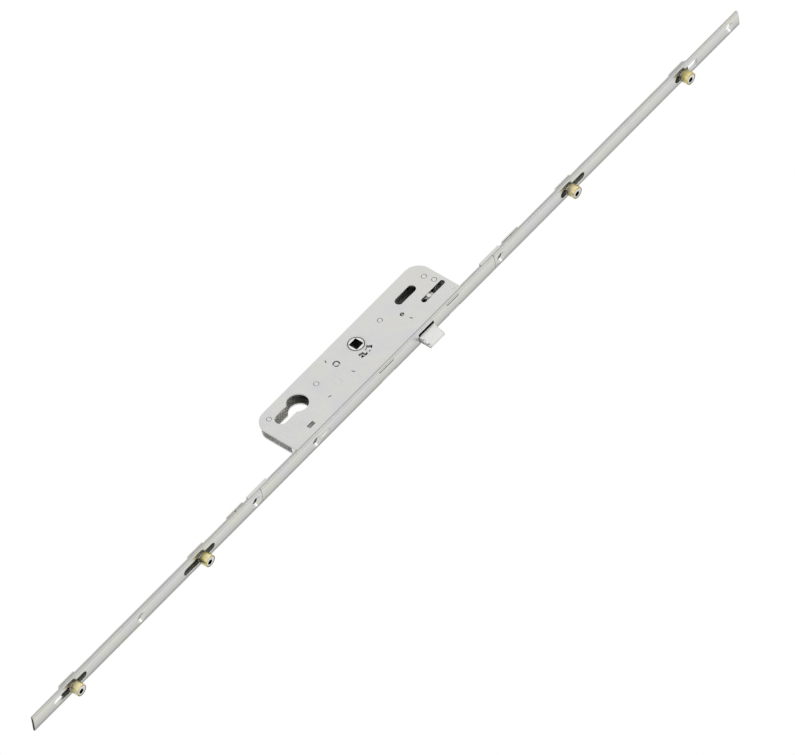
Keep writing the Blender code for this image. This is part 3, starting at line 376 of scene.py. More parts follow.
@dataclass(frozen=True)
class PaintedEdgeShadeFinish(MetalFinish):
    """A rolled strip with painted shade that darkens it towards its two long edges.

    Each edge has the place where the painted shade starts, the place where it is darkest, and the
    share of its tone that is left there.
    """

    near: tuple[float, float, float] = (-6.1 * MM, -7.2 * MM, 0.66)
    far: tuple[float, float, float] = (2.6 * MM, 7.4 * MM, 0.60)

    def shade_hollows(self, tree: Tree, place: Socket, film: Socket) -> Socket:
        """Paint shade on the film towards both edges.

        Args:
            tree: the material's nodes.
            place: a point of the piece.
            film: colour of the metal's film.

        Returns:
            The colour with painted shade on its edges.
        """
        parts = add_node(tree, "ShaderNodeSeparateXYZ", links={"Vector": place})
        # Painted shade: each edge's tone falls from the face to the edge.
        for start, end, share in (self.near, self.far):
            tone = add_node(tree, "ShaderNodeMapRange",
                            {"From Min": start, "From Max": end, "To Min": 1.0, "To Max": share},
                            {"Value": parts.outputs["Y"]})
            film = add_node(tree, "ShaderNodeMix",
                            {"data_type": "RGBA", "blend_type": "MULTIPLY", "Factor": 1.0},
                            {6: film, 7: tone.outputs["Result"]}).outputs[2]
        return film


@dataclass(frozen=True)
class PassivatedFinish(MetalFinish):
    """Turned steel under a yellow passivation film, whose colour swings from straw to olive and pink.

    Args:
        foot: where the painted shade is darkest, close to the strip, and where it ends.
        foot_shade_tone: the painted shade's darkest colour.
        thin_tone: colour where the film is thinnest.
        thick_tone: colour where it is thickest.
    """

    foot: tuple[float, float] = (2.8 * MM, 9.0 * MM)
    foot_shade_tone: str = "#544C1E"
    thin_tone: str = "#D3A888"
    thick_tone: str = "#9D945A"

    def colour(self, tree: Tree, place: Socket) -> Socket:
        """Colour of the film: five tones as its thickness drifts round the roller; painted shade near the
        strip.

        Args:
            tree: the material's nodes.
            place: a point of the piece.

        Returns:
            The colour.
        """
        patches = add_node(tree, "ShaderNodeTexNoise",
                           {"Scale": 1.0 / self.patch_size, "Detail": 2.0, "Distortion": 0.6},
                           {"Vector": place})
        ramp = add_node(tree, "ShaderNodeValToRGB", links={"Fac": patches.outputs["Fac"]})
        straw, gold, olive = self.tones
        set_stops(ramp, [(0.30, self.thin_tone), (0.40, straw), (0.52, gold), (0.63, olive),
                         (0.74, self.thick_tone)])
        # Painted shade: the film is darkened towards the strip, at the barrel's foot.
        parts = add_node(tree, "ShaderNodeSeparateXYZ", links={"Vector": place})
        outward = add_node(tree, "ShaderNodeMapRange",
                           {"From Min": self.foot[0], "From Max": self.foot[1], "To Min": 0.0,
                            "To Max": 1.0}, {"Value": parts.outputs["X"]})
        mixed = add_node(tree, "ShaderNodeMix",
                         {"data_type": "RGBA", "blend_type": "MIX", 6: to_linear(self.foot_shade_tone)},
                         {0: outward.outputs["Result"], 7: ramp.outputs["Color"]})
        return mixed.outputs[2]


class Finishes:
    """The lock's finishes, each named for its metal and how its surface was made; some also name the light
    and shade painted on them.
    """

    # Rolled sheet under bright zinc: pale, nearly neutral, with faint warm and cool clouds.
    # The rolling grain of about 0.1 mm is drawn at 0.5 mm so that it shows.
    SHEET = MetalFinish("bright zinc-plated pressed steel", slot="zinc_plated_steel",
                        tones=("#D6D6D8", "#D9D9D7", "#DAD9D4"), roughness=0.42, roughness_spread=0.06,
                        patch_size=22.0 * MM, grain_size=0.5 * MM, grain_depth=0.004 * MM,
                        stretch=(1.0, 1.0, 0.10), grain_tone=0.05)
    # The same sheet on the case: painted light between its plates, painted shade in its openings and
    # grooves.
    CASE = SHEET.greased("bright zinc-plated case sheet greased inside", pool=(52.5 * MM, 75.0 * MM))
    # The hub's bushes look like the case outside, with painted shade inside, in the gap round the hub.
    BUSH = SHEET.greased("bright zinc-plated bush greased inside", planes=(-6.42 * MM, 6.42 * MM),
                         grease="#1E1E1C")
    # The same plating on the edge-rolled strip: glossier along its length, with painted shade on its edges.
    STRIP = PaintedEdgeShadeFinish("bright zinc-plated rolled steel strip", slot="zinc_plated_steel",
                        tones=("#DADADD", "#DCDCD8", "#DFDFD5"), roughness=0.34, roughness_spread=0.05,
                        patch_size=26.0 * MM, grain_size=0.6 * MM, grain_depth=0.002 * MM,
                        stretch=(1.0, 1.0, 0.04), grain_tone=0.06)
    # Cold-drawn rods, slides and levers: darker, with drawing lines along the strip.
    DRAWN = MetalFinish("zinc-plated cold-drawn steel", slot="drawn_steel",
                        tones=("#B2B3B6", "#BCBCBA", "#C4C3BC"), roughness=0.34, roughness_spread=0.08,
                        patch_size=14.0 * MM, grain_size=0.4 * MM, grain_depth=0.006 * MM,
                        stretch=(1.0, 1.0, 0.05), grain_tone=0.10)
    # The rods are the same steel, with painted shade on the face that slides behind the strip: it is
    # nearly black in the roller slots.
    ROD = DRAWN.greased("zinc-plated drawn rod with a greased front", planes=(-0.7 * MM, 0.1 * MM),
                        across=Axis.X, grease="#5C5D55")
    # Turned ends of rivets and axles: bright and smooth.
    TURNED = MetalFinish("bright turned and plated steel", slot="drawn_steel",
                         tones=("#D0D1D4", "#DADAD8", "#E0DFD8"), roughness=0.26, roughness_spread=0.06,
                         patch_size=6.0 * MM, grain_size=0.3 * MM, grain_depth=0.003 * MM,
                         stretch=(0.3, 1.0, 1.0), grain_tone=0.06)
    # The same turned steel on the roller studs, with painted shade in the key socket and round the head.
    STUD = TURNED.greased("bright turned stud greased in its socket",
                          tones=("#DCDDDF", "#E4E4E2", "#E8E7E1"), planes=(3.6 * MM, 10.65 * MM),
                          across=Axis.X, grease="#34342F")
    # Die-cast zinc alloy, tumbled: soft sheen with a fine blasted grain of 0.3 mm.
    CAST = MetalFinish("tumbled die-cast zinc alloy", slot="cast_zinc",
                       tones=("#DCDDDE", "#E2E3E0", "#E6E5DE"), roughness=0.46, roughness_spread=0.05,
                       patch_size=12.0 * MM, grain_size=0.3 * MM, grain_depth=0.006 * MM, grain_tone=0.06)
    # The latch bolt is the same casting, with painted shade on the part that runs behind the strip.
    BOLT = CAST.greased("tumbled die-cast zinc bolt greased behind the strip",
                        tones=("#E4E5E5", "#E8E8E5", "#EBEAE4"), grain_depth=0.005 * MM, grain_tone=0.05,
                        planes=(-40.0 * MM, 2.3 * MM), across=Axis.X, grease="#3A3A36")
    # The hub is the same casting, with painted shade in its square bore and round the rim of its journal.
    HUB = CAST.greased("tumbled die-cast zinc hub with a greased bore",
                       tones=("#E4E5E6", "#EAEAE8", "#EDECE6"), grain_tone=0.05,
                       planes=(-6.42 * MM, 6.42 * MM), grease="#2B2B29", bore=4.16 * MM,
                       centre=(-30.5 * MM, 0.0), rim=(6.05 * MM, 6.75 * MM))
    # Small levers and guides inside the case, given a dark tone as painted shade.
    PAINTED_SHADE = MetalFinish("greased steel and zinc inside the case", slot="drawn_steel",
                          tones=("#3F3F3B", "#474742", "#504F49"), roughness=0.36, roughness_spread=0.08,
                          patch_size=8.0 * MM, grain_size=0.4 * MM, grain_depth=0.004 * MM)
    # Yellow passivated roller: straw yellow that drifts to olive and pink, with painted shade by the strip.
    ROLLER = PassivatedFinish("yellow-passivated turned steel", slot="yellow_passivated_steel",
                              tones=("#F4EBBD", "#E6DA98", "#C6BA78"), roughness=0.26,
                              roughness_spread=0.06, patch_size=8.0 * MM, grain_size=0.25 * MM,
                              grain_depth=0.004 * MM, stretch=(1.0, 0.2, 0.2), grain_tone=0.08)
    # Oiled music wire: dark and glossy.
    WIRE = MetalFinish("oiled spring wire", slot="spring_steel",
                       tones=("#5E5F63", "#6A6A6C", "#74726E"), roughness=0.28, roughness_spread=0.06,
                       patch_size=5.0 * MM, grain_size=0.2 * MM, grain_depth=0.002 * MM)


def arc(center: tuple[float, float], radius: float, start: float, stop: float, steps: int) -> Loop:
    """Points of an arc, both ends included.

    Args:
        center: the arc's centre.
        radius: its radius.
        start: angle of the first point in degrees.
        stop: angle of the last point in degrees.
        steps: number of sides.

    Returns:
        The points.
    """
    angles = [math.radians(start + (stop - start) * step / steps) for step in range(steps + 1)]
    return [(center[0] + radius * math.cos(a), center[1] + radius * math.sin(a)) for a in angles]


def circle(center: tuple[float, float], radius: float, steps: int = 40) -> Loop:
    """Points round a circle."""
    return arc(center, radius, 0.0, 360.0, steps)[:-1]


def slot(middle: float, low: float, high: float, width: float) -> Loop:
    """A slot with round ends, drawn out along the second direction.

    Args:
        middle: its place across.
        low: its lowest point.
        high: its highest point.
        width: its width.

    Returns:
        The points, anticlockwise.
    """
    radius = width / 2
    return (arc((middle, high - radius), radius, 0.0, 180.0, 12)
            + arc((middle, low + radius), radius, 180.0, 360.0, 12))


def rounded_box(low: tuple[float, float], high: tuple[float, float], corner: float) -> Loop:
    """A rectangle with small round corners.

    Args:
        low: its lowest corner.
        high: its highest corner.
        corner: radius of the corners.

    Returns:
        The points, anticlockwise.
    """
    points: Loop = []
    corners = ((high[0], high[1], 0.0), (low[0], high[1], 90.0), (low[0], low[1], 180.0),
               (high[0], low[1], 270.0))
    for u, v, start in corners:
        center = (u - corner if u == high[0] else u + corner, v - corner if v == high[1] else v + corner)
        points += arc(center, corner, start, start + 90.0, 4)
    return points


def moved_loop(loop: Loop, distance: float) -> Loop:
    """Move the sides of a loop.

    Args:
        loop: points, anticlockwise.
        distance: how far the sides move outwards, or inwards where it is negative.

    Returns:
        The moved points.
    """
    result: Loop = []
    for index, point in enumerate(loop):
        here = Vector(point)
        before = (here - Vector(loop[index - 1])).normalized()
        after = (Vector(loop[(index + 1) % len(loop)]) - here).normalized()
        first = Vector((before.y, -before.x))
        middle = (first + Vector((after.y, -after.x))).normalized()
        # A sharp corner moves at most this much further than its sides.
        reach = distance / max(0.4, middle.dot(first))
        result.append((here.x + middle.x * reach, here.y + middle.y * reach))
    return result


def rolled_edge(loop: Loop, front: float, back: float, radius: float, opening: bool) -> Contour:
    """Edge of a plate or of an opening in it, with a rounded lip at its front.

    Args:
        loop: the edge's outline, anticlockwise.
        front: height of the front face.
        back: height of the back face.
        radius: radius of the front lip.
        opening: True for the edge of a hole, False for the plate's own rim.

    Returns:
        Loops with their heights, from front to back.
    """
    side = 1.0 if opening else -1.0
    into = 1.0 if back > front else -1.0
    contour: Contour = []
    for degrees in (0.0, 30.0, 60.0, 90.0):
        angle = math.radians(degrees)
        inset = radius * (1.0 - math.sin(angle))
        contour.append((moved_loop(loop, side * inset), front + into * radius * (1.0 - math.cos(angle))))
    burr = min(0.12 * MM, radius)
    contour.append((loop, back - into * burr))
    contour.append((moved_loop(loop, side * burr), back))
    return contour


def pressed_mark(loop: Loop, front: float, depth: float, slope: float) -> Contour:
    """A shallow pressed mark in a plate's face.

    Args:
        loop: its outline, anticlockwise.
        front: height of the face.
        depth: how far the sheet dips.
        slope: width of the slope round it.

    Returns:
        Loops with their heights, from the face to the mark's floor.
    """
    return [(moved_loop(loop, -slope * across), front + depth * down)
            for across, down in ((0.0, 0.0), (0.25, 0.15), (0.75, 0.85), (1.0, 1.0))]


def bridge(bm: Mesh, contour: Contour, axis: Axis) -> list[Ring]:
    """Join a contour's loops with faces.

    Args:
        bm: mesh to add to.
        contour: loops with heights.
        axis: direction of the heights.

    Returns:
        The corners of each loop.
    """
    rings = [[bm.verts.new(axis.place(u, v, height)) for u, v in loop] for loop, height in contour]
    for first, second in zip(rings, rings[1:]):
        for index in range(len(first)):
            bm.faces.new((first[index - 1], first[index], second[index], second[index - 1]))
    return rings


def add_bar(bm: Mesh, contour: Contour, axis: Axis) -> None:
    """Add a closed bar: a contour's loops joined with faces, and a face on each end.

    Args:
        bm: mesh to add to.
        contour: loops with heights.
        axis: direction of the heights.
    """
    rings = bridge(bm, contour, axis)
    bm.faces.new(rings[0])
    bm.faces.new(rings[-1])


def ring_edges(bm: Mesh, ring: Ring) -> list[bmesh.types.BMEdge]:
    """Edges of one loop."""
    return [bm.edges.get((ring[index - 1], ring[index])) for index in range(len(ring))]


def sheet_mesh(axis: Axis, rim: Contour, openings: list[Contour], marks: list[Contour]) -> Mesh:
    """A plate with rounded edges, openings through it and pressed marks on its front.

    Args:
        axis: direction across the plate's thickness.
        rim: contour of the plate's own edge.
        openings: contours of its holes.
        marks: contours of marks on the front face.

    Returns:
        The closed mesh.
    """
    bm = bmesh.new()
    front: list[bmesh.types.BMEdge] = []
    back: list[bmesh.types.BMEdge] = []
    for contour in [rim, *openings]:
        rings = bridge(bm, contour, axis)
        for edges, ring in ((front, rings[0]), (back, rings[-1])):
            for edge in ring_edges(bm, ring):
                edge.smooth = False
                edges.append(edge)
    for contour in marks:
        rings = bridge(bm, contour, axis)
        front += ring_edges(bm, rings[0])
        bm.faces.new(rings[-1])
    for edges in (front, back):
        bmesh.ops.triangle_fill(bm, use_beauty=True, edges=edges, normal=axis.place(0.0, 0.0, 1.0))
    return bm


def turned_mesh(profile: Loop, axis: Axis, center: tuple[float, float], steps: int = 48,
                socket: tuple[float, float, float, float] | None = None) -> Mesh:
    """A turned solid from a profile of radius and height; a profile that starts at radius 0 is solid.

    Args:
        profile: (radius, height) points.
        axis: direction of the turning axis.
        center: the axis's place across that direction.
        steps: faces round the solid.
        socket: for a hexagon socket in the last face, its two centre coordinates, radius and floor height.

    Returns:
        The closed mesh.
    """
    bm = bmesh.new()
    rings: list[Ring] = []
    for radius, height in profile:
        if radius == 0.0:
            rings.append([bm.verts.new(axis.place(*center, height))])
        else:
            rings.append([bm.verts.new(axis.place(u, v, height)) for u, v in circle(center, radius, steps)])
    closed = profile[0][0] != 0.0
    for index in range(len(rings) if closed else len(rings) - 1):
        first, second = rings[index], rings[(index + 1) % len(rings)]
        for step in range(steps):
            after = (step + 1) % steps
            corners = [first[step % len(first)], first[after % len(first)],
                       second[after % len(second)], second[step % len(second)]]
            bm.faces.new(dict.fromkeys(corners))
    if socket is not None:
        u, v, radius, floor = socket
        top = profile[-1][1]
        hexagon = circle((u, v), radius, 6)
        lip = 0.15 * MM
        inner = bridge(bm, [(moved_loop(hexagon, lip), top), (hexagon, top - lip), (hexagon, floor)], axis)
        bm.faces.new(inner[-1])
        edges = ring_edges(bm, rings[-1]) + ring_edges(bm, inner[0])
        bmesh.ops.triangle_fill(bm, use_beauty=True, edges=edges, normal=axis.place(0.0, 0.0, 1.0))
    return bm


def merge(bm: Mesh, other: Mesh) -> None:
    """Add a second mesh, freed here, to the first.

    Args:
        bm: mesh to add to.
        other: mesh that is added.
    """
    mesh = bpy.data.meshes.new("added")
    other.to_mesh(mesh)
    other.free()
    bm.from_mesh(mesh)
    bpy.data.meshes.remove(mesh)


def make_object(bm: Mesh, name: str) -> bpy.types.Object:
    """Turn a mesh into an object of the scene.

    Args:
        bm: mesh, freed here.
        name: name of the object and its mesh.

    Returns:
        The object.
    """
    mesh = bpy.data.meshes.new(name)
    bm.to_mesh(mesh)
    bm.free()
    made = bpy.data.objects.new(name, mesh)
    bpy.context.collection.objects.link(made)
    return made


def finish_piece(bm: Mesh, name: str, finish: MetalFinish, nodes: tuple[str, ...],
                 sharp: float = 34.0) -> None:
    """Turn a mesh into a shown piece that rides with the solids that it stands for.

    Args:
        bm: mesh, freed here.
        name: name of the piece.
        finish: metal finish.
        nodes: the solids that it replaces.
        sharp: edges above this angle in degrees stay crisp.
    """
    bmesh.ops.recalc_face_normals(bm, faces=bm.faces)
    piece = make_object(bm, name)
    mesh = piece.data
    mesh.materials.append(finish.material())
    marked = [edge.use_edge_sharp for edge in mesh.edges]
    mesh.shade_smooth()
    mesh.set_sharp_from_angle(angle=math.radians(sharp))
    for edge, keep in zip(mesh.edges, marked):
        edge.use_edge_sharp = edge.use_edge_sharp or keep
    flat = piece.modifiers.new("flat faces stay flat", "WEIGHTED_NORMAL")
    flat.mode = "FACE_AREA"
    flat.weight = 60
    flat.keep_sharp = True
    settle(piece, nodes)
    LOG.info("piece %s: %d faces, on %s", name, len(mesh.polygons), BODY_OF[nodes[0]])


def settle(piece: bpy.types.Object, nodes: tuple[str, ...]) -> None:
    """Let a piece ride with its solids' body, and hide those solids.

    Args:
        piece: the new piece.
        nodes: the solids that it stands for; it rides with the first one's body.
    """
    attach(piece, BODY_OF[nodes[0]])
    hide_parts(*nodes)


def dress_node(node: str, finish: MetalFinish, bevel: float) -> None:
    """Keep a solid's own shape, break its edges a little and give it its finish.

    Args:
        node: name of the solid.
        finish: metal finish.
        bevel: width of the broken edges.
    """
    piece = NODES[node]
    piece.data.materials.clear()
    piece.data.materials.append(finish.material())
    weld = piece.modifiers.new("joined corners", "WELD")
    weld.merge_threshold = 0.002 * MM
    edges = piece.modifiers.new("broken edges", "BEVEL")
    edges.width = bevel
    edges.segments = 2
    edges.limit_method = "ANGLE"
    edges.angle_limit = math.radians(38.0)
    edges.use_clamp_overlap = True
    edges.harden_normals = True
    LOG.info("solid %s dressed in %s", node, finish.title)


def cut(body: Mesh, cutter: Mesh) -> Mesh:
    """Subtract one closed mesh from another.

    Args:
        body: mesh that is cut, freed here.
        cutter: mesh that is taken away, freed here.

    Returns:
        The cut mesh.
    """
    bmesh.ops.recalc_face_normals(body, faces=body.faces)
    pair = [make_object(body, "cut_body"), make_object(cutter, "cut_tool")]
    step = pair[0].modifiers.new("openings", "BOOLEAN")
    step.operation = "DIFFERENCE"
    step.solver = "EXACT"
    step.use_self = True
    step.object = pair[1]
    bpy.context.view_layer.update()
    seen = pair[0].evaluated_get(bpy.context.evaluated_depsgraph_get())
    result = bmesh.new()
    result.from_mesh(seen.to_mesh())
    seen.to_mesh_clear()
    for piece in pair:
        mesh = piece.data
        bpy.data.objects.remove(piece, do_unlink=True)
        bpy.data.meshes.remove(mesh)
    bmesh.ops.remove_doubles(result, verts=result.verts, dist=0.0005 * MM)
    return result


def stud_level(key: str) -> float:
    """Height of a roller cam's stud along the strip."""
    low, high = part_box(f"{key}_carrier")
    return (low.z + high.z) / 2


def case_half() -> float:
    """Half the case's width."""
    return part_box("case_tray")[1].y


def centre_of(node: str) -> tuple[float, float]:
    """Place of a turned piece's axis across the case."""
    low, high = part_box(node)
    return ((low.x + high.x) / 2, (low.z + high.z) / 2)


@dataclass
class Faceplate:
    """The strip in three lengths, edge-rolled, countersunk, slotted for the studs and the latch."""

    edge_radius: float = 1.4 * MM
    crown_slope: float = 7.0
    crown_steps: int = 12
    edge_steps: int = 7
    screw_radius: float = 2.6 * MM
    head_radius: float = 4.6 * MM
    lip: float = 0.35 * MM
    lip_steps: int = 4
    # How far an opening's cutter starts outside its lip, as a share of the lip's radius.
    lip_flare: float = 1.6
    latch_lip: float = 0.15 * MM
    latch_corner: float = 0.5 * MM
    lug_corner: float = 0.4 * MM
    slot_width: float = 6.6 * MM
    end_chamfer: float = 0.12 * MM
    clear: float = 1.0 * MM
    mark_level: float = -77.5 * MM
    mark_size: tuple[float, float] = (4.2 * MM, 12.0 * MM)
    mark_depth: float = 0.8 * MM
    nodes: tuple[str, ...] = ("upper_faceplate", "centre_faceplate", "lower_faceplate")

    def section(self, back: float, front: float, half: float) -> Loop:
        """Cross-section of the strip: flat back, rolled edges and a slight crown.

        Args:
            back: X of the back.
            front: X of the crown's top.
            half: half the strip's width.

        Returns:
            Points over X and Y, anticlockwise.
        """
        slope = math.radians(self.crown_slope)
        radius = self.edge_radius
        flat = half - radius * (1.0 - math.sin(slope))
        crown = flat * math.tan(slope) / 2
        center = front - crown - radius * math.cos(slope)
        chamfer = self.end_chamfer
        far: Loop = []
        for step in range(self.crown_steps + 1):
            across = flat * step / self.crown_steps
            far.append((front - crown * (across / flat) ** 2, across))
        for step in range(1, self.edge_steps + 1):
            angle = slope + (math.pi / 2 - slope) * step / self.edge_steps
            far.append((center + radius * math.cos(angle), half - radius + radius * math.sin(angle)))
        far += [(back + chamfer, half), (back, half - chamfer)]
        near = [(u, -v) for u, v in far[1:]]
        return near[::-1] + far

    def bar(self, node: str) -> Mesh:
        """Draw one length of the strip before its openings are cut.

        Args:
            node: the length's solid.

        Returns:
            The closed mesh.
        """
        low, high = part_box(node)
        loop = self.section(low.x, high.x, high.y)
        chamfer = self.end_chamfer
        shrunk = moved_loop(loop, -chamfer)
        bm = bmesh.new()
        add_bar(bm, [(shrunk, low.z), (loop, low.z + chamfer), (loop, high.z - chamfer), (shrunk, high.z)],
                Axis.Z)
        return bm

    def cutters(self, node: str) -> Mesh:
        """Draw everything that is cut from one length: countersinks, stud slots and centre openings.

        Args:
            node: the length's solid.

        Returns:
            Closed meshes in one.
        """
        (back, _, low), (front, _, high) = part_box(node)
        contours = [self.countersink(level, front, back) for level in SCREW_LEVELS if low < level < high]
        for key, (up, down) in ROLLER_SLOTS.items():
            level = stud_level(key)
            if low < level < high:
                outline = slot(0.0, level - down, level + up, self.slot_width)
                contours.append(self.flared(outline, front, back, self.lip))
        if node == "centre_faceplate":
            contours += self.centre_openings(front, back)
        bm = bmesh.new()
        for contour in contours:
            add_bar(bm, contour, Axis.X)
        bmesh.ops.recalc_face_normals(bm, faces=bm.faces)
        return bm

    def centre_openings(self, front: float, back: float) -> list[Contour]:
        """Cutters of the latch's opening, the case's lugs and the pressed mark.

        Args:
            front: X of the strip's face.
            back: X of its back.

        Returns:
            The contour of each.
        """
        bolt_low, bolt_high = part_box("latch_bolt")
        near = -(case_half() - PLATE - FIT)
        outline = rounded_box((near, bolt_low.z - FIT), (bolt_high.y + FIT, bolt_high.z + FIT),
                              self.latch_corner)
        contours = [self.flared(outline, front, back, self.latch_lip)]
        half = PLATE / 2 + FIT
        for low, high in LUG_SPANS:
            for side in (-1.0, 1.0):
                middle = side * (case_half() - PLATE / 2)
                outline = rounded_box((middle - half, low - FIT), (middle + half, high + FIT),
                                      self.lug_corner)
                contours.append(self.flared(outline, front, back, 0.0))
        width, length = self.mark_size
        outline = slot(0.0, self.mark_level - length / 2, self.mark_level + length / 2, width)
        contours.append([(moved_loop(outline, 0.3 * MM), front + self.clear), (outline, front),
                         (moved_loop(outline, -0.15 * MM), front - 0.7 * self.mark_depth),
                         (moved_loop(outline, -0.5 * MM), front - self.mark_depth)])
        return contours

    def flared(self, outline: Loop, front: float, back: float, lip: float) -> Contour:
        """A through cutter that rounds over the opening's front edge.

        Args:
            outline: the opening's outline, anticlockwise.
            front: X of the strip's face.
            back: X of its back.
            lip: radius of the rounded edge, or 0 for a plain one.

        Returns:
            Loops with their heights, from the front to the back.
        """
        rows: Contour = []
        if lip > 0.0:
            rows.append((moved_loop(outline, lip * self.lip_flare), front + self.clear))
            for step in range(self.lip_steps + 1):
                angle = math.pi / 2 * step / self.lip_steps
                rows.append((moved_loop(outline, lip * (1.0 - math.sin(angle))),
                             front - 0.05 * MM - lip * (1.0 - math.cos(angle))))
        else:
            rows.append((outline, front + self.clear))
        rows.append((outline, back - self.clear))
        return rows

    def countersink(self, level: float, front: float, back: float) -> Contour:
        """A pressed countersink: a soft lip, the cone for the screw's head and the through hole.

        Args:
            level: height of the screw.
            front: X of the strip's face.
            back: X of its back.

        Returns:
            Circles with their heights, from the front to the back.
        """
        head, shank = self.head_radius, self.screw_radius
        rows = [(head + 0.6 * MM, front + self.clear), (head + 0.25 * MM, front),
                (head, front - 0.12 * MM), (head - 0.15 * MM, front - 0.3 * MM),
                (shank + 0.15 * MM, front - 1.9 * MM), (shank, front - 2.1 * MM),
                (shank, back - self.clear)]
        return [(circle((0.0, level), radius, 48), height) for radius, height in rows]

    def build(self) -> None:
        """Make the three lengths."""
        for node in self.nodes:
            bm = cut(self.bar(node), self.cutters(node))
            finish_piece(bm, f"{node}_strip", Finishes.STRIP, (node,), sharp=28.0)


@dataclass
class Case:
    """Gearbox case: the near plate with its openings and pressed marks, the far tray and the rivets."""

    corner: float = 13.0 * MM
    lug_reach: float = 2.3 * MM
    front_gap: float = 0.3 * MM
    rim_lip: float = 0.30 * MM
    hole_lip: float = 0.21 * MM
    hub_hole: float = 8.02 * MM
    hub_lip: float = 0.04 * MM
    groove_size: tuple[float, float] = (1.5 * MM, 0.42 * MM)
    groove_depth: float = 0.95 * MM
    # Marks in millimetres from the spindle: distance and level, then the angle from X in degrees of a
    # groove, or the radius and depth of a dimple. The pad has two corners, a depth and a slope.
    grooves: tuple[tuple[float, float, float], ...] = (
        (15.5, -22.0, 15.0), (16.4, -51.2, 70.0), (18.4, 44.0, 20.0), (-8.1, -26.9, -30.0))
    dimples: tuple[tuple[float, float, float, float], ...] = (
        (26.2, 85.6, 1.3, 0.80), (10.5, -57.5, 1.2, 0.30))
    dimple_slope: float = 0.8 * MM
    pad: Loop = field(default_factory=lambda: [(9.0, -39.5), (15.5, -33.0)])
    pad_corner: float = 1.4 * MM
    pad_press: tuple[float, float] = (0.45 * MM, 1.0 * MM)
    cylinder_level: float = -70.0 * MM
    cylinder_radius: float = 8.75 * MM
    cylinder_neck: float = 10.4 * MM
    cylinder_height: float = 33.3 * MM
    # Level, width and height of the oval. Distance from the spindle, level and radius of the peep hole.
    oval: tuple[float, float, float] = (59.0 * MM, 7.2 * MM, 21.8 * MM)
    peep: tuple[float, float, float] = (10.3 * MM, 42.7 * MM, 1.8 * MM)
    # Distance from the spindle, then the slot's lowest and highest level and width.
    pin_slot: tuple[float, float, float, float] = (15.3 * MM, 61.0 * MM, 87.0 * MM, 4.4 * MM)
    # Distance from the spindle, level, width and height.
    setting_slot: tuple[float, float, float, float] = (22.5 * MM, -80.7 * MM, 3.4 * MM, 6.5 * MM)
    # The window's centre lies below the spindle; its inner radius, width and the tongue's width follow.
    window: tuple[float, float, float, float] = (2.0 * MM, 9.1 * MM, 4.6 * MM, 2.6 * MM)
    posts: tuple[str, ...] = ("case_rivet_1", "case_rivet_2", "case_rivet_3", "idler_axle",
                              "latch_lever_pivot", "locking_lever_pivot")
    post_hole: float = 2.2 * MM
    post_end: float = 1.9 * MM
    post_seat: float = 1.8 * MM
    wide_holes: dict[str, float] = field(default_factory=lambda: {"idler_axle": 0.8 * MM})

    def outline(self, node: str) -> Loop:
        """Side view of a case plate with its lugs.

        Args:
            node: the plate's solid.

        Returns:
            Points, anticlockwise from the bottom front corner.
        """
        low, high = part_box(node)
        radius = self.corner
        points: Loop = [(-self.front_gap, low.z)]
        for lug_low, lug_high in sorted(LUG_SPANS):
            points += [(-self.front_gap, lug_low), (self.lug_reach, lug_low),
                       (self.lug_reach, lug_high), (-self.front_gap, lug_high)]
        points.append((-self.front_gap, high.z))
        points += arc((low.x + radius, high.z - radius), radius, 90.0, 180.0, 16)
        points += arc((low.x + radius, low.z + radius), radius, 180.0, 270.0, 16)
        return points

    def cylinder_outline(self, spindle: float) -> Loop:
        """The euro profile: a round hole with a straight neck below it.

        Args:
            spindle: X of the spindle.

        Returns:
            Points, anticlockwise.
        """
        half = self.cylinder_neck / 2
        meet = math.degrees(math.asin(half / self.cylinder_radius))
        points = arc((spindle, self.cylinder_level), self.cylinder_radius, meet - 90.0, 270.0 - meet, 36)
        neck_end = self.cylinder_level + self.cylinder_radius - self.cylinder_height + half
        return points + arc((spindle, neck_end), half, 180.0, 360.0, 16)

    def window_outline(self, spindle: float) -> Loop:
        """Curved window beside the hub, with a tongue of sheet left standing in it.

        Args:
            spindle: X of the spindle.

        Returns:
            Points, anticlockwise.
        """
        drop, inner, width, tongue = self.window
        center = (spindle, -drop)
        points = arc(center, inner + width, -32.0, 38.0, 14)
        points += arc(center, inner, 38.0, 7.0, 5)
        points += arc(center, inner + tongue, 7.0, -7.0, 3)
        return points + arc(center, inner, -7.0, -32.0, 5)

    def hole_outlines(self, spindle: float) -> list[Loop]:
        """Every opening of the near plate; the hub's is the first.

        Args:
            spindle: X of the spindle.

        Returns:
            The outline of each.
        """
        level, width, height = self.oval
        offset, peep_level, peep_radius = self.peep
        loops = [circle((spindle, 0.0), self.hub_hole, 56), self.cylinder_outline(spindle),
                 slot(spindle, level - height / 2, level + height / 2, width),
                 circle((spindle + offset, peep_level), peep_radius, 28)]
        for post in self.posts:
            loops.append(circle(centre_of(post), self.post_hole + self.wide_holes.get(post, 0.0), 28))
        offset, slot_low, slot_high, width = self.pin_slot
        loops.append(slot(spindle + offset, slot_low, slot_high, width))
        loops.append(self.window_outline(spindle))
        offset, level, width, height = self.setting_slot
        loops.append(rounded_box((spindle + offset - width / 2, level - height / 2),
                                 (spindle + offset + width / 2, level + height / 2), 0.4 * MM))
        return loops

    def build_cover(self) -> None:
        """Near plate: blanked sheet with rolled lips, its openings and its pressed marks."""
        spindle, _ = centre_of("near_hub_bush")
        low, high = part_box("case_cover")
        front, back = low.y, high.y
        rim = rolled_edge(self.outline("case_cover"), front, back, self.rim_lip, opening=False)
        openings = [rolled_edge(loop, front, back, self.hole_lip if place else self.hub_lip, opening=True)
                    for place, loop in enumerate(self.hole_outlines(spindle))]
        bm = sheet_mesh(Axis.Y, rim, openings, self.cover_marks(spindle, front))
        finish_piece(bm, "case_cover_plate", Finishes.CASE, ("case_cover",))

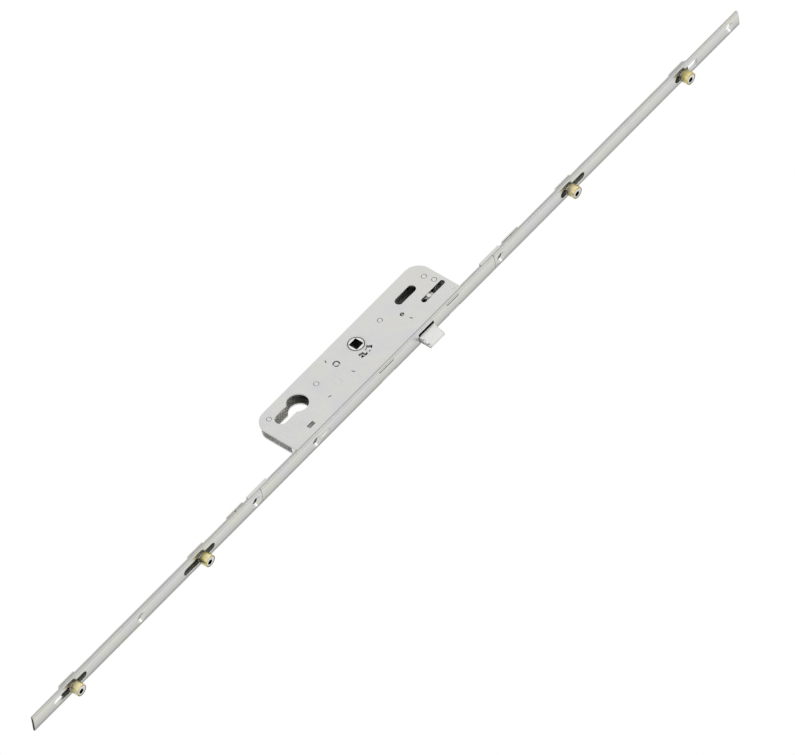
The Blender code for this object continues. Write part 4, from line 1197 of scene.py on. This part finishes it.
    def cover_marks(self, spindle: float, front: float) -> list[Contour]:
        """Pressed marks on the near plate: a shallow pad, dimples and short grooves.

        Args:
            spindle: X of the spindle.
            front: height of the plate's face.

        Returns:
            The contour of each.
        """
        low, high = ((spindle + offset * MM, level * MM) for offset, level in self.pad)
        marks = [pressed_mark(rounded_box(low, high, self.pad_corner), front, *self.pad_press)]
        for offset, level, radius, depth in self.dimples:
            loop = circle((spindle + offset * MM, level * MM), radius * MM, 24)
            marks.append(pressed_mark(loop, front, depth * MM, self.dimple_slope))
        for offset, level, turn in self.grooves:
            marks.append(self.groove(spindle + offset * MM, level * MM, turn, front))
        return marks

    def groove(self, across: float, level: float, turn: float, front: float) -> Contour:
        """A short lanced groove, sunk through half of the sheet.

        Args:
            across: place of its middle along X.
            level: height of its middle.
            turn: its angle from X in degrees.
            front: height of the sheet's face.

        Returns:
            Its loops from the face down to its floor.
        """
        cosine, sine = math.cos(math.radians(turn)), math.sin(math.radians(turn))
        half_long, half_wide = self.groove_size
        flat = (arc((half_long - half_wide, 0.0), half_wide, -90.0, 90.0, 8)
                + arc((half_wide - half_long, 0.0), half_wide, 90.0, 270.0, 8))
        loop = [(across + u * cosine - v * sine, level + u * sine + v * cosine) for u, v in flat]
        return [(loop, front), (moved_loop(loop, -0.08 * MM), front + 0.15 * MM),
                (moved_loop(loop, -0.14 * MM), front + self.groove_depth)]

    def build_posts(self) -> None:
        """Rivet posts: each end is peened over in its plate, with a ring and a shallow dish."""
        for post in self.posts:
            low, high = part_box(post)
            near, far = low.y, high.y
            body = (high.x - low.x) / 2
            end = self.post_end
            peened = [(0.0, 0.25 * MM), (0.9 * MM, 0.20 * MM), (1.3 * MM, 0.02 * MM),
                      (end - 0.15 * MM, 0.0), (end, 0.2 * MM), (end, self.post_seat), (body, self.post_seat)]
            profile = [(radius, near + depth) for radius, depth in peened]
            profile += [(radius, far - depth) for radius, depth in reversed(peened)]
            bm = turned_mesh(profile, Axis.Y, centre_of(post), 32)
            finish_piece(bm, f"{post}_post", Finishes.TURNED, (post,))

    def build(self) -> None:
        """Make the case; the tray with its folded wall and the bushes keep their solids' shapes."""
        self.build_cover()
        dress_node("case_tray", Finishes.CASE, 0.25 * MM)
        self.build_posts()
        for node in ("near_hub_bush", "far_hub_bush"):
            dress_node(node, Finishes.BUSH, 0.03 * MM)


@dataclass
class RollerCam:
    """One eccentric roller: a passivated barrel on a stud with a silver head and a hexagon socket."""

    key: str
    wall: float = 1.6 * MM
    rim: float = 0.4 * MM
    recess_depth: float = 1.2 * MM
    soft: float = 0.35 * MM
    head_thick: float = 0.9 * MM
    head_gap: float = 0.5 * MM
    socket_radius: float = 2.5 * MM
    socket_depth: float = 3.0 * MM
    shank: float = 3.0 * MM
    flange: float = 0.6 * MM
    seat_thick: float = 0.6 * MM

    def build(self) -> None:
        """Make the barrel and the stud."""
        low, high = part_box(f"{self.key}_roller")
        center = ((low.y + high.y) / 2, (low.z + high.z) / 2)
        radius = (high.y - low.y) / 2
        near, far = low.x, high.x
        bore = radius - self.wall
        recess = radius - self.rim
        soft = self.soft
        profile = [(bore, near), (radius - soft, near), (radius - 0.1 * MM, near + 0.1 * MM),
                   (radius, near + soft), (radius, far - soft), (radius - 0.08 * MM, far - 0.1 * MM),
                   (radius - 0.25 * MM, far), (recess, far - 0.05 * MM), (recess, far - self.recess_depth),
                   (bore, far - self.recess_depth)]
        bm = turned_mesh(profile, Axis.X, center, 64)
        finish_piece(bm, f"{self.key}_barrel", Finishes.ROLLER, (f"{self.key}_roller",))
        self.build_stud(center, radius)

    def build_stud(self, center: tuple[float, float], radius: float) -> None:
        """Make the stud: its shank behind, its seat on the strip, and the pin with its head.

        Args:
            center: Y and Z of the roller's axis.
            radius: radius of the roller.
        """
        low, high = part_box(f"{self.key}_stud")
        level = stud_level(self.key)
        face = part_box("centre_faceplate")[1].x
        tip = high.x
        head = radius - self.rim - self.head_gap
        pin = radius - self.wall - FIT
        top = [(0.0, face + 0.5 * MM), (pin, face + 0.5 * MM), (pin, tip - self.head_thick),
               (head, tip - self.head_thick), (head, tip - 0.25 * MM), (head - 0.08 * MM, tip - 0.08 * MM),
               (head - 0.25 * MM, tip)]
        socket = (0.0, level, self.socket_radius, tip - self.socket_depth)
        bm = turned_mesh(top, Axis.X, center, 48, socket)
        wide = self.shank + self.flange
        rear = low.x + self.flange
        seat = pin + 1.0 * MM
        seat_top = face + FIT + self.seat_thick
        lower = [(0.0, low.x), (wide - 0.2 * MM, low.x), (wide, low.x + 0.2 * MM), (wide, rear),
                 (self.shank, rear), (self.shank, face + FIT), (seat, face + FIT),
                 (seat, seat_top - 0.15 * MM), (seat - 0.15 * MM, seat_top), (0.0, seat_top)]
        merge(bm, turned_mesh(lower, Axis.X, (0.0, level), 40))
        finish_piece(bm, f"{self.key}_stud_turned", Finishes.STUD, (f"{self.key}_stud",))


@dataclass
class Latch:
    """Bevelled latch bolt with its ribbed ends, its stem, draw pin and spring."""

    near: float = -1.7 * MM
    rear: float = -6.0 * MM
    tip: float = 2.8 * MM
    soft: float = 0.6 * MM
    groove: float = 0.9 * MM
    groove_depth: float = 1.7 * MM
    groove_rear: float = -4.0 * MM
    grooves: tuple[float, ...] = (-0.2 * MM, 1.5 * MM, 3.2 * MM)
    stem_level: float = 41.0 * MM
    stem_height: float = 4.0 * MM
    stem_sides: tuple[float, float] = (0.5 * MM, 2.9 * MM)
    pin_x: float = -29.6 * MM
    pin_radius: float = 1.25 * MM
    spring_turns: int = 6
    spring_steps: int = 24
    spring_radius: float = 2.8 * MM
    spring_end: float = 0.08
    wire: float = 0.35 * MM
    stroke: float = 9.0 * MM

    def build_bolt(self) -> None:
        """Make the bolt: its bevel runs from the strip's face to the blunt tip."""
        low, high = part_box("latch_bolt")
        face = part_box("centre_faceplate")[1].x
        outline: Loop = [(self.rear, self.near), (face, self.near), (high.x, high.y - self.tip),
                         (high.x, high.y), (self.rear, high.y)]
        steps = ((self.soft, 0.0), (0.3 * self.soft, 0.3 * self.soft), (0.0, self.soft))
        rim = [(moved_loop(outline, -inset), high.z - drop) for inset, drop in steps]
        rim += [(moved_loop(outline, -inset), low.z + drop) for inset, drop in reversed(steps)]
        body = bmesh.new()
        add_bar(body, rim, Axis.Z)
        grooves = bmesh.new()
        for middle in self.grooves:
            for level in (low.z, high.z):
                loop = rounded_box((middle - self.groove / 2, level - self.groove_depth),
                                   (middle + self.groove / 2, level + self.groove_depth), 0.15 * MM)
                add_bar(grooves, [(loop, self.groove_rear), (loop, high.x + 1.0 * MM)], Axis.X)
        bmesh.ops.recalc_face_normals(grooves, faces=grooves.faces)
        bm = cut(body, grooves)
        merge(bm, sheet_mesh(Axis.Y, self.stem_rim(low.x), [], []))
        chamfer = 0.2 * MM
        foot = self.stem_sides[0] + FIT
        profile = [(0.0, self.near), (self.pin_radius - chamfer, self.near),
                   (self.pin_radius, self.near + chamfer), (self.pin_radius, foot), (0.0, foot)]
        merge(bm, turned_mesh(profile, Axis.Y, (self.pin_x, self.stem_level), 24))
        finish_piece(bm, "latch_bolt_cast", Finishes.BOLT, ("latch_bolt",))

    def stem_rim(self, end: float) -> Contour:
        """Edge of the flat stem.

        Args:
            end: X of its end at the lever. The other end lies inside the bolt.

        Returns:
            Loops with their heights.
        """
        low, high = self.stem_level - self.stem_height / 2, self.stem_level + self.stem_height / 2
        loop = rounded_box((end, low), (self.groove_rear, high), 0.3 * MM)
        return rolled_edge(loop, *self.stem_sides, 0.2 * MM, opening=False)

    def build_spring(self) -> None:
        """Make the spring: round wire with closed end turns between the guide and the bolt."""
        low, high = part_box("latch_spring")
        first = low.x + self.wire
        last = high.x - self.wire
        middle = (self.stem_sides[0] + self.stem_sides[1]) / 2
        steps = self.spring_turns * self.spring_steps
        curve = bpy.data.curves.new("latch_spring_wire", "CURVE")
        curve.dimensions = "3D"
        curve.bevel_depth = self.wire
        curve.bevel_resolution = 2
        curve.use_fill_caps = True
        line = curve.splines.new("POLY")
        line.points.add(steps)
        for step, point in enumerate(line.points):
            share = step / steps
            eased = min(1.0, max(0.0, (share - self.spring_end) / (1.0 - 2.0 * self.spring_end)))
            angle = math.tau * self.spring_turns * share
            point.co = (first + (last - first) * eased, middle + self.spring_radius * math.cos(angle),
                        self.stem_level + self.spring_radius * math.sin(angle), 1.0)
        coil = bpy.data.objects.new("latch_spring_path", curve)
        mesh = bpy.data.meshes.new_from_object(coil)
        bpy.data.objects.remove(coil)
        mesh.materials.clear()
        mesh.materials.append(Finishes.WIRE.material())
        piece = bpy.data.objects.new("latch_spring_wire", mesh)
        bpy.context.collection.objects.link(piece)
        settle(piece, ("latch_spring",))
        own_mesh(piece)
        LOG.info("piece latch_spring_wire: %d turns", self.spring_turns)

    def build(self) -> None:
        """Make the latch and its inner pieces."""
        self.build_bolt()
        self.build_spring()
        dress_node("latch_guide", Finishes.PAINTED_SHADE, 0.25 * MM)
        dress_node("latch_lever", Finishes.PAINTED_SHADE, 0.2 * MM)


@dataclass
class GearTrain:
    """Hub, idler, racks and the locking lever: their own shapes with broken edges."""

    cast: tuple[str, ...] = ("idler_gear",)
    drawn: tuple[str, ...] = ("top_slide", "bottom_slide", "locking_lever")

    def build(self) -> None:
        """Dress the solids."""
        for node in self.cast:
            dress_node(node, Finishes.CAST, 0.15 * MM)
        for node in self.drawn:
            dress_node(node, Finishes.DRAWN, 0.15 * MM)
        dress_node("follower", Finishes.HUB, 0.12 * MM)
        dress_node("top_slide_pin", Finishes.TURNED, 0.2 * MM)


@dataclass
class RodTrain:
    """Rods behind the strip with their couplers, carriers and splices."""

    rods: tuple[str, ...] = ("upper_drive_rod", "lower_drive_rod", "upper_extension_rod",
                             "lower_extension_rod")
    folded: tuple[str, ...] = ("upper_splice", "lower_splice", "upper_rod_coupler", "lower_rod_coupler")

    def build(self) -> None:
        """Dress the solids."""
        for node in self.rods:
            dress_node(node, Finishes.ROD, 0.2 * MM)
        for key in ROLLER_SLOTS:
            dress_node(f"{key}_carrier", Finishes.SHEET, 0.25 * MM)
        for node in self.folded:
            dress_node(node, Finishes.SHEET, 0.25 * MM)


def matrix_of(across: Vector, upward: Vector, back: Vector, place: Vector) -> Matrix:
    """World matrix of a camera.

    Args:
        across: direction of the view's right side.
        upward: direction of its top.
        back: direction from the lock to the camera.
        place: where the camera stands.

    Returns:
        The matrix.
    """
    return Matrix.Translation(place) @ Matrix((across, upward, back)).transposed().to_4x4()


@dataclass
class Studio:
    """Camera at the picture's viewing angle, white surroundings, a soft lamp and a pale floor."""

    image_width: int = 795
    image_height: int = 755
    azimuth: float = 31.5
    elevation: float = -26.0
    roll: float = 44.9
    scale: float = 1313.0
    distance: float = 12.0
    target: tuple[float, float, float] = (-30.5 * MM, -6.5 * MM, 0.0)
    target_pixel: tuple[float, float] = (356.1, 343.9)
    sensor: float = 36.0
    # The world dims from one share of the direction's Y to the other, down to the last level.
    dimming: tuple[float, float, float] = (0.68, 0.93, 0.40)
    lamp_away: tuple[float, float, float] = (0.75, -0.45, 0.44)
    lamp_distance: float = 3.0
    lamp_size: float = 0.9
    lamp_power: float = 7.0
    floor_half: float = 30.0
    floor_tone: str = "#F2F2F0"

    def add_camera(self) -> None:
        """Long lens far away, moved sideways so that the spindle falls where it does in the picture."""
        turn, tilt, roll = (math.radians(value) for value in (self.azimuth, self.elevation, self.roll))
        right = Vector((math.cos(turn), math.sin(turn), 0.0))
        back = Vector((math.sin(turn) * math.cos(tilt), -math.cos(turn) * math.cos(tilt), math.sin(tilt)))
        up = back.cross(right)
        across = right * math.cos(roll) + up * math.sin(roll)
        upward = up * math.cos(roll) - right * math.sin(roll)
        sideways = (self.image_width / 2 - self.target_pixel[0]) / self.scale
        downward = (self.image_height / 2 - self.target_pixel[1]) / self.scale
        data = bpy.data.cameras.new("camera")
        data.sensor_width = self.sensor
        data.lens = self.scale * self.distance * self.sensor / self.image_width
        data.clip_end = 100.0
        camera = bpy.data.objects.new("camera", data)
        camera.matrix_world = matrix_of(across, upward, back, Vector(self.target) + across * sideways
                                        - upward * downward + back * self.distance)
        bpy.context.collection.objects.link(camera)
        bpy.context.scene.camera = camera

    def add_world(self) -> None:
        """White where it is seen or mirrored in front, softly greyer behind the lock."""
        world = bpy.data.worlds.new("surroundings")
        bpy.context.scene.world = world
        world.use_nodes = True
        tree = world.node_tree
        tree.nodes.clear()
        direction = add_node(tree, "ShaderNodeTexCoord").outputs["Generated"]
        parts = add_node(tree, "ShaderNodeSeparateXYZ", links={"Vector": direction})
        start, end, level = self.dimming
        behind = add_node(tree, "ShaderNodeMapRange",
                          {"From Min": start, "From Max": end, "To Min": 1.0, "To Max": level},
                          {"Value": parts.outputs["Y"]})
        rays = add_node(tree, "ShaderNodeLightPath")
        strength = add_node(tree, "ShaderNodeMix", {"data_type": "FLOAT", 3: 1.0},
                            {0: rays.outputs["Is Camera Ray"], 2: behind.outputs["Result"]})
        glow = add_node(tree, "ShaderNodeBackground", {"Color": (1.0, 1.0, 1.0, 1.0)},
                        {"Strength": strength.outputs[0]})
        add_node(tree, "ShaderNodeOutputWorld", links={"Surface": glow.outputs["Background"]})

    def add_lamp(self) -> None:
        """A soft square lamp beside the strip's face, turned to the middle of the lock."""
        data = bpy.data.lights.new("edge lamp", "AREA")
        data.size = self.lamp_size
        data.energy = self.lamp_power
        lamp = bpy.data.objects.new("edge lamp", data)
        away = Vector(self.lamp_away).normalized()
        lamp.location = away * self.lamp_distance
        lamp.rotation_euler = away.to_track_quat("Z", "Y").to_euler()
        lamp.visible_camera = False
        bpy.context.collection.objects.link(lamp)

    def add_floor(self) -> None:
        """Pale floor under the lock's lower end; it is see-through from below."""
        bm = bmesh.new()
        bmesh.ops.create_grid(bm, x_segments=8, y_segments=8, size=self.floor_half)
        floor = make_object(bm, "floor")
        floor.location.z = CAD_BOX[0].z - 0.2 * MM
        material = bpy.data.materials.new("pale matt floor")
        material.use_nodes = True
        tree = material.node_tree
        shader = tree.nodes["Principled BSDF"]
        shader.inputs["Base Color"].default_value = to_linear(self.floor_tone)
        shader.inputs["Roughness"].default_value = 0.9
        side = add_node(tree, "ShaderNodeNewGeometry")
        clear = add_node(tree, "ShaderNodeBsdfTransparent")
        joined = add_node(tree, "ShaderNodeMixShader",
                          links={0: side.outputs["Backfacing"], 1: shader.outputs["BSDF"],
                                 2: clear.outputs["BSDF"]})
        tree.links.new(joined.outputs["Shader"], tree.nodes["Material Output"].inputs["Surface"])
        floor.data.materials.append(material)

    def build(self) -> None:
        """Set up the camera, the light and the floor."""
        self.add_camera()
        self.add_world()
        self.add_lamp()
        self.add_floor()
        bpy.context.scene.view_settings.view_transform = "Standard"
        LOG.info("studio set up")


def main() -> None:
    """Build the lock's looks piece by piece, then the studio."""
    logging.basicConfig(level=logging.INFO, format="%(name)s: %(message)s")
    Faceplate().build()
    Case().build()
    GearTrain().build()
    RodTrain().build()
    for key in ROLLER_SLOTS:
        RollerCam(key).build()
    Latch().build()
    Studio().build()


if __name__ == "__main__":
    main()
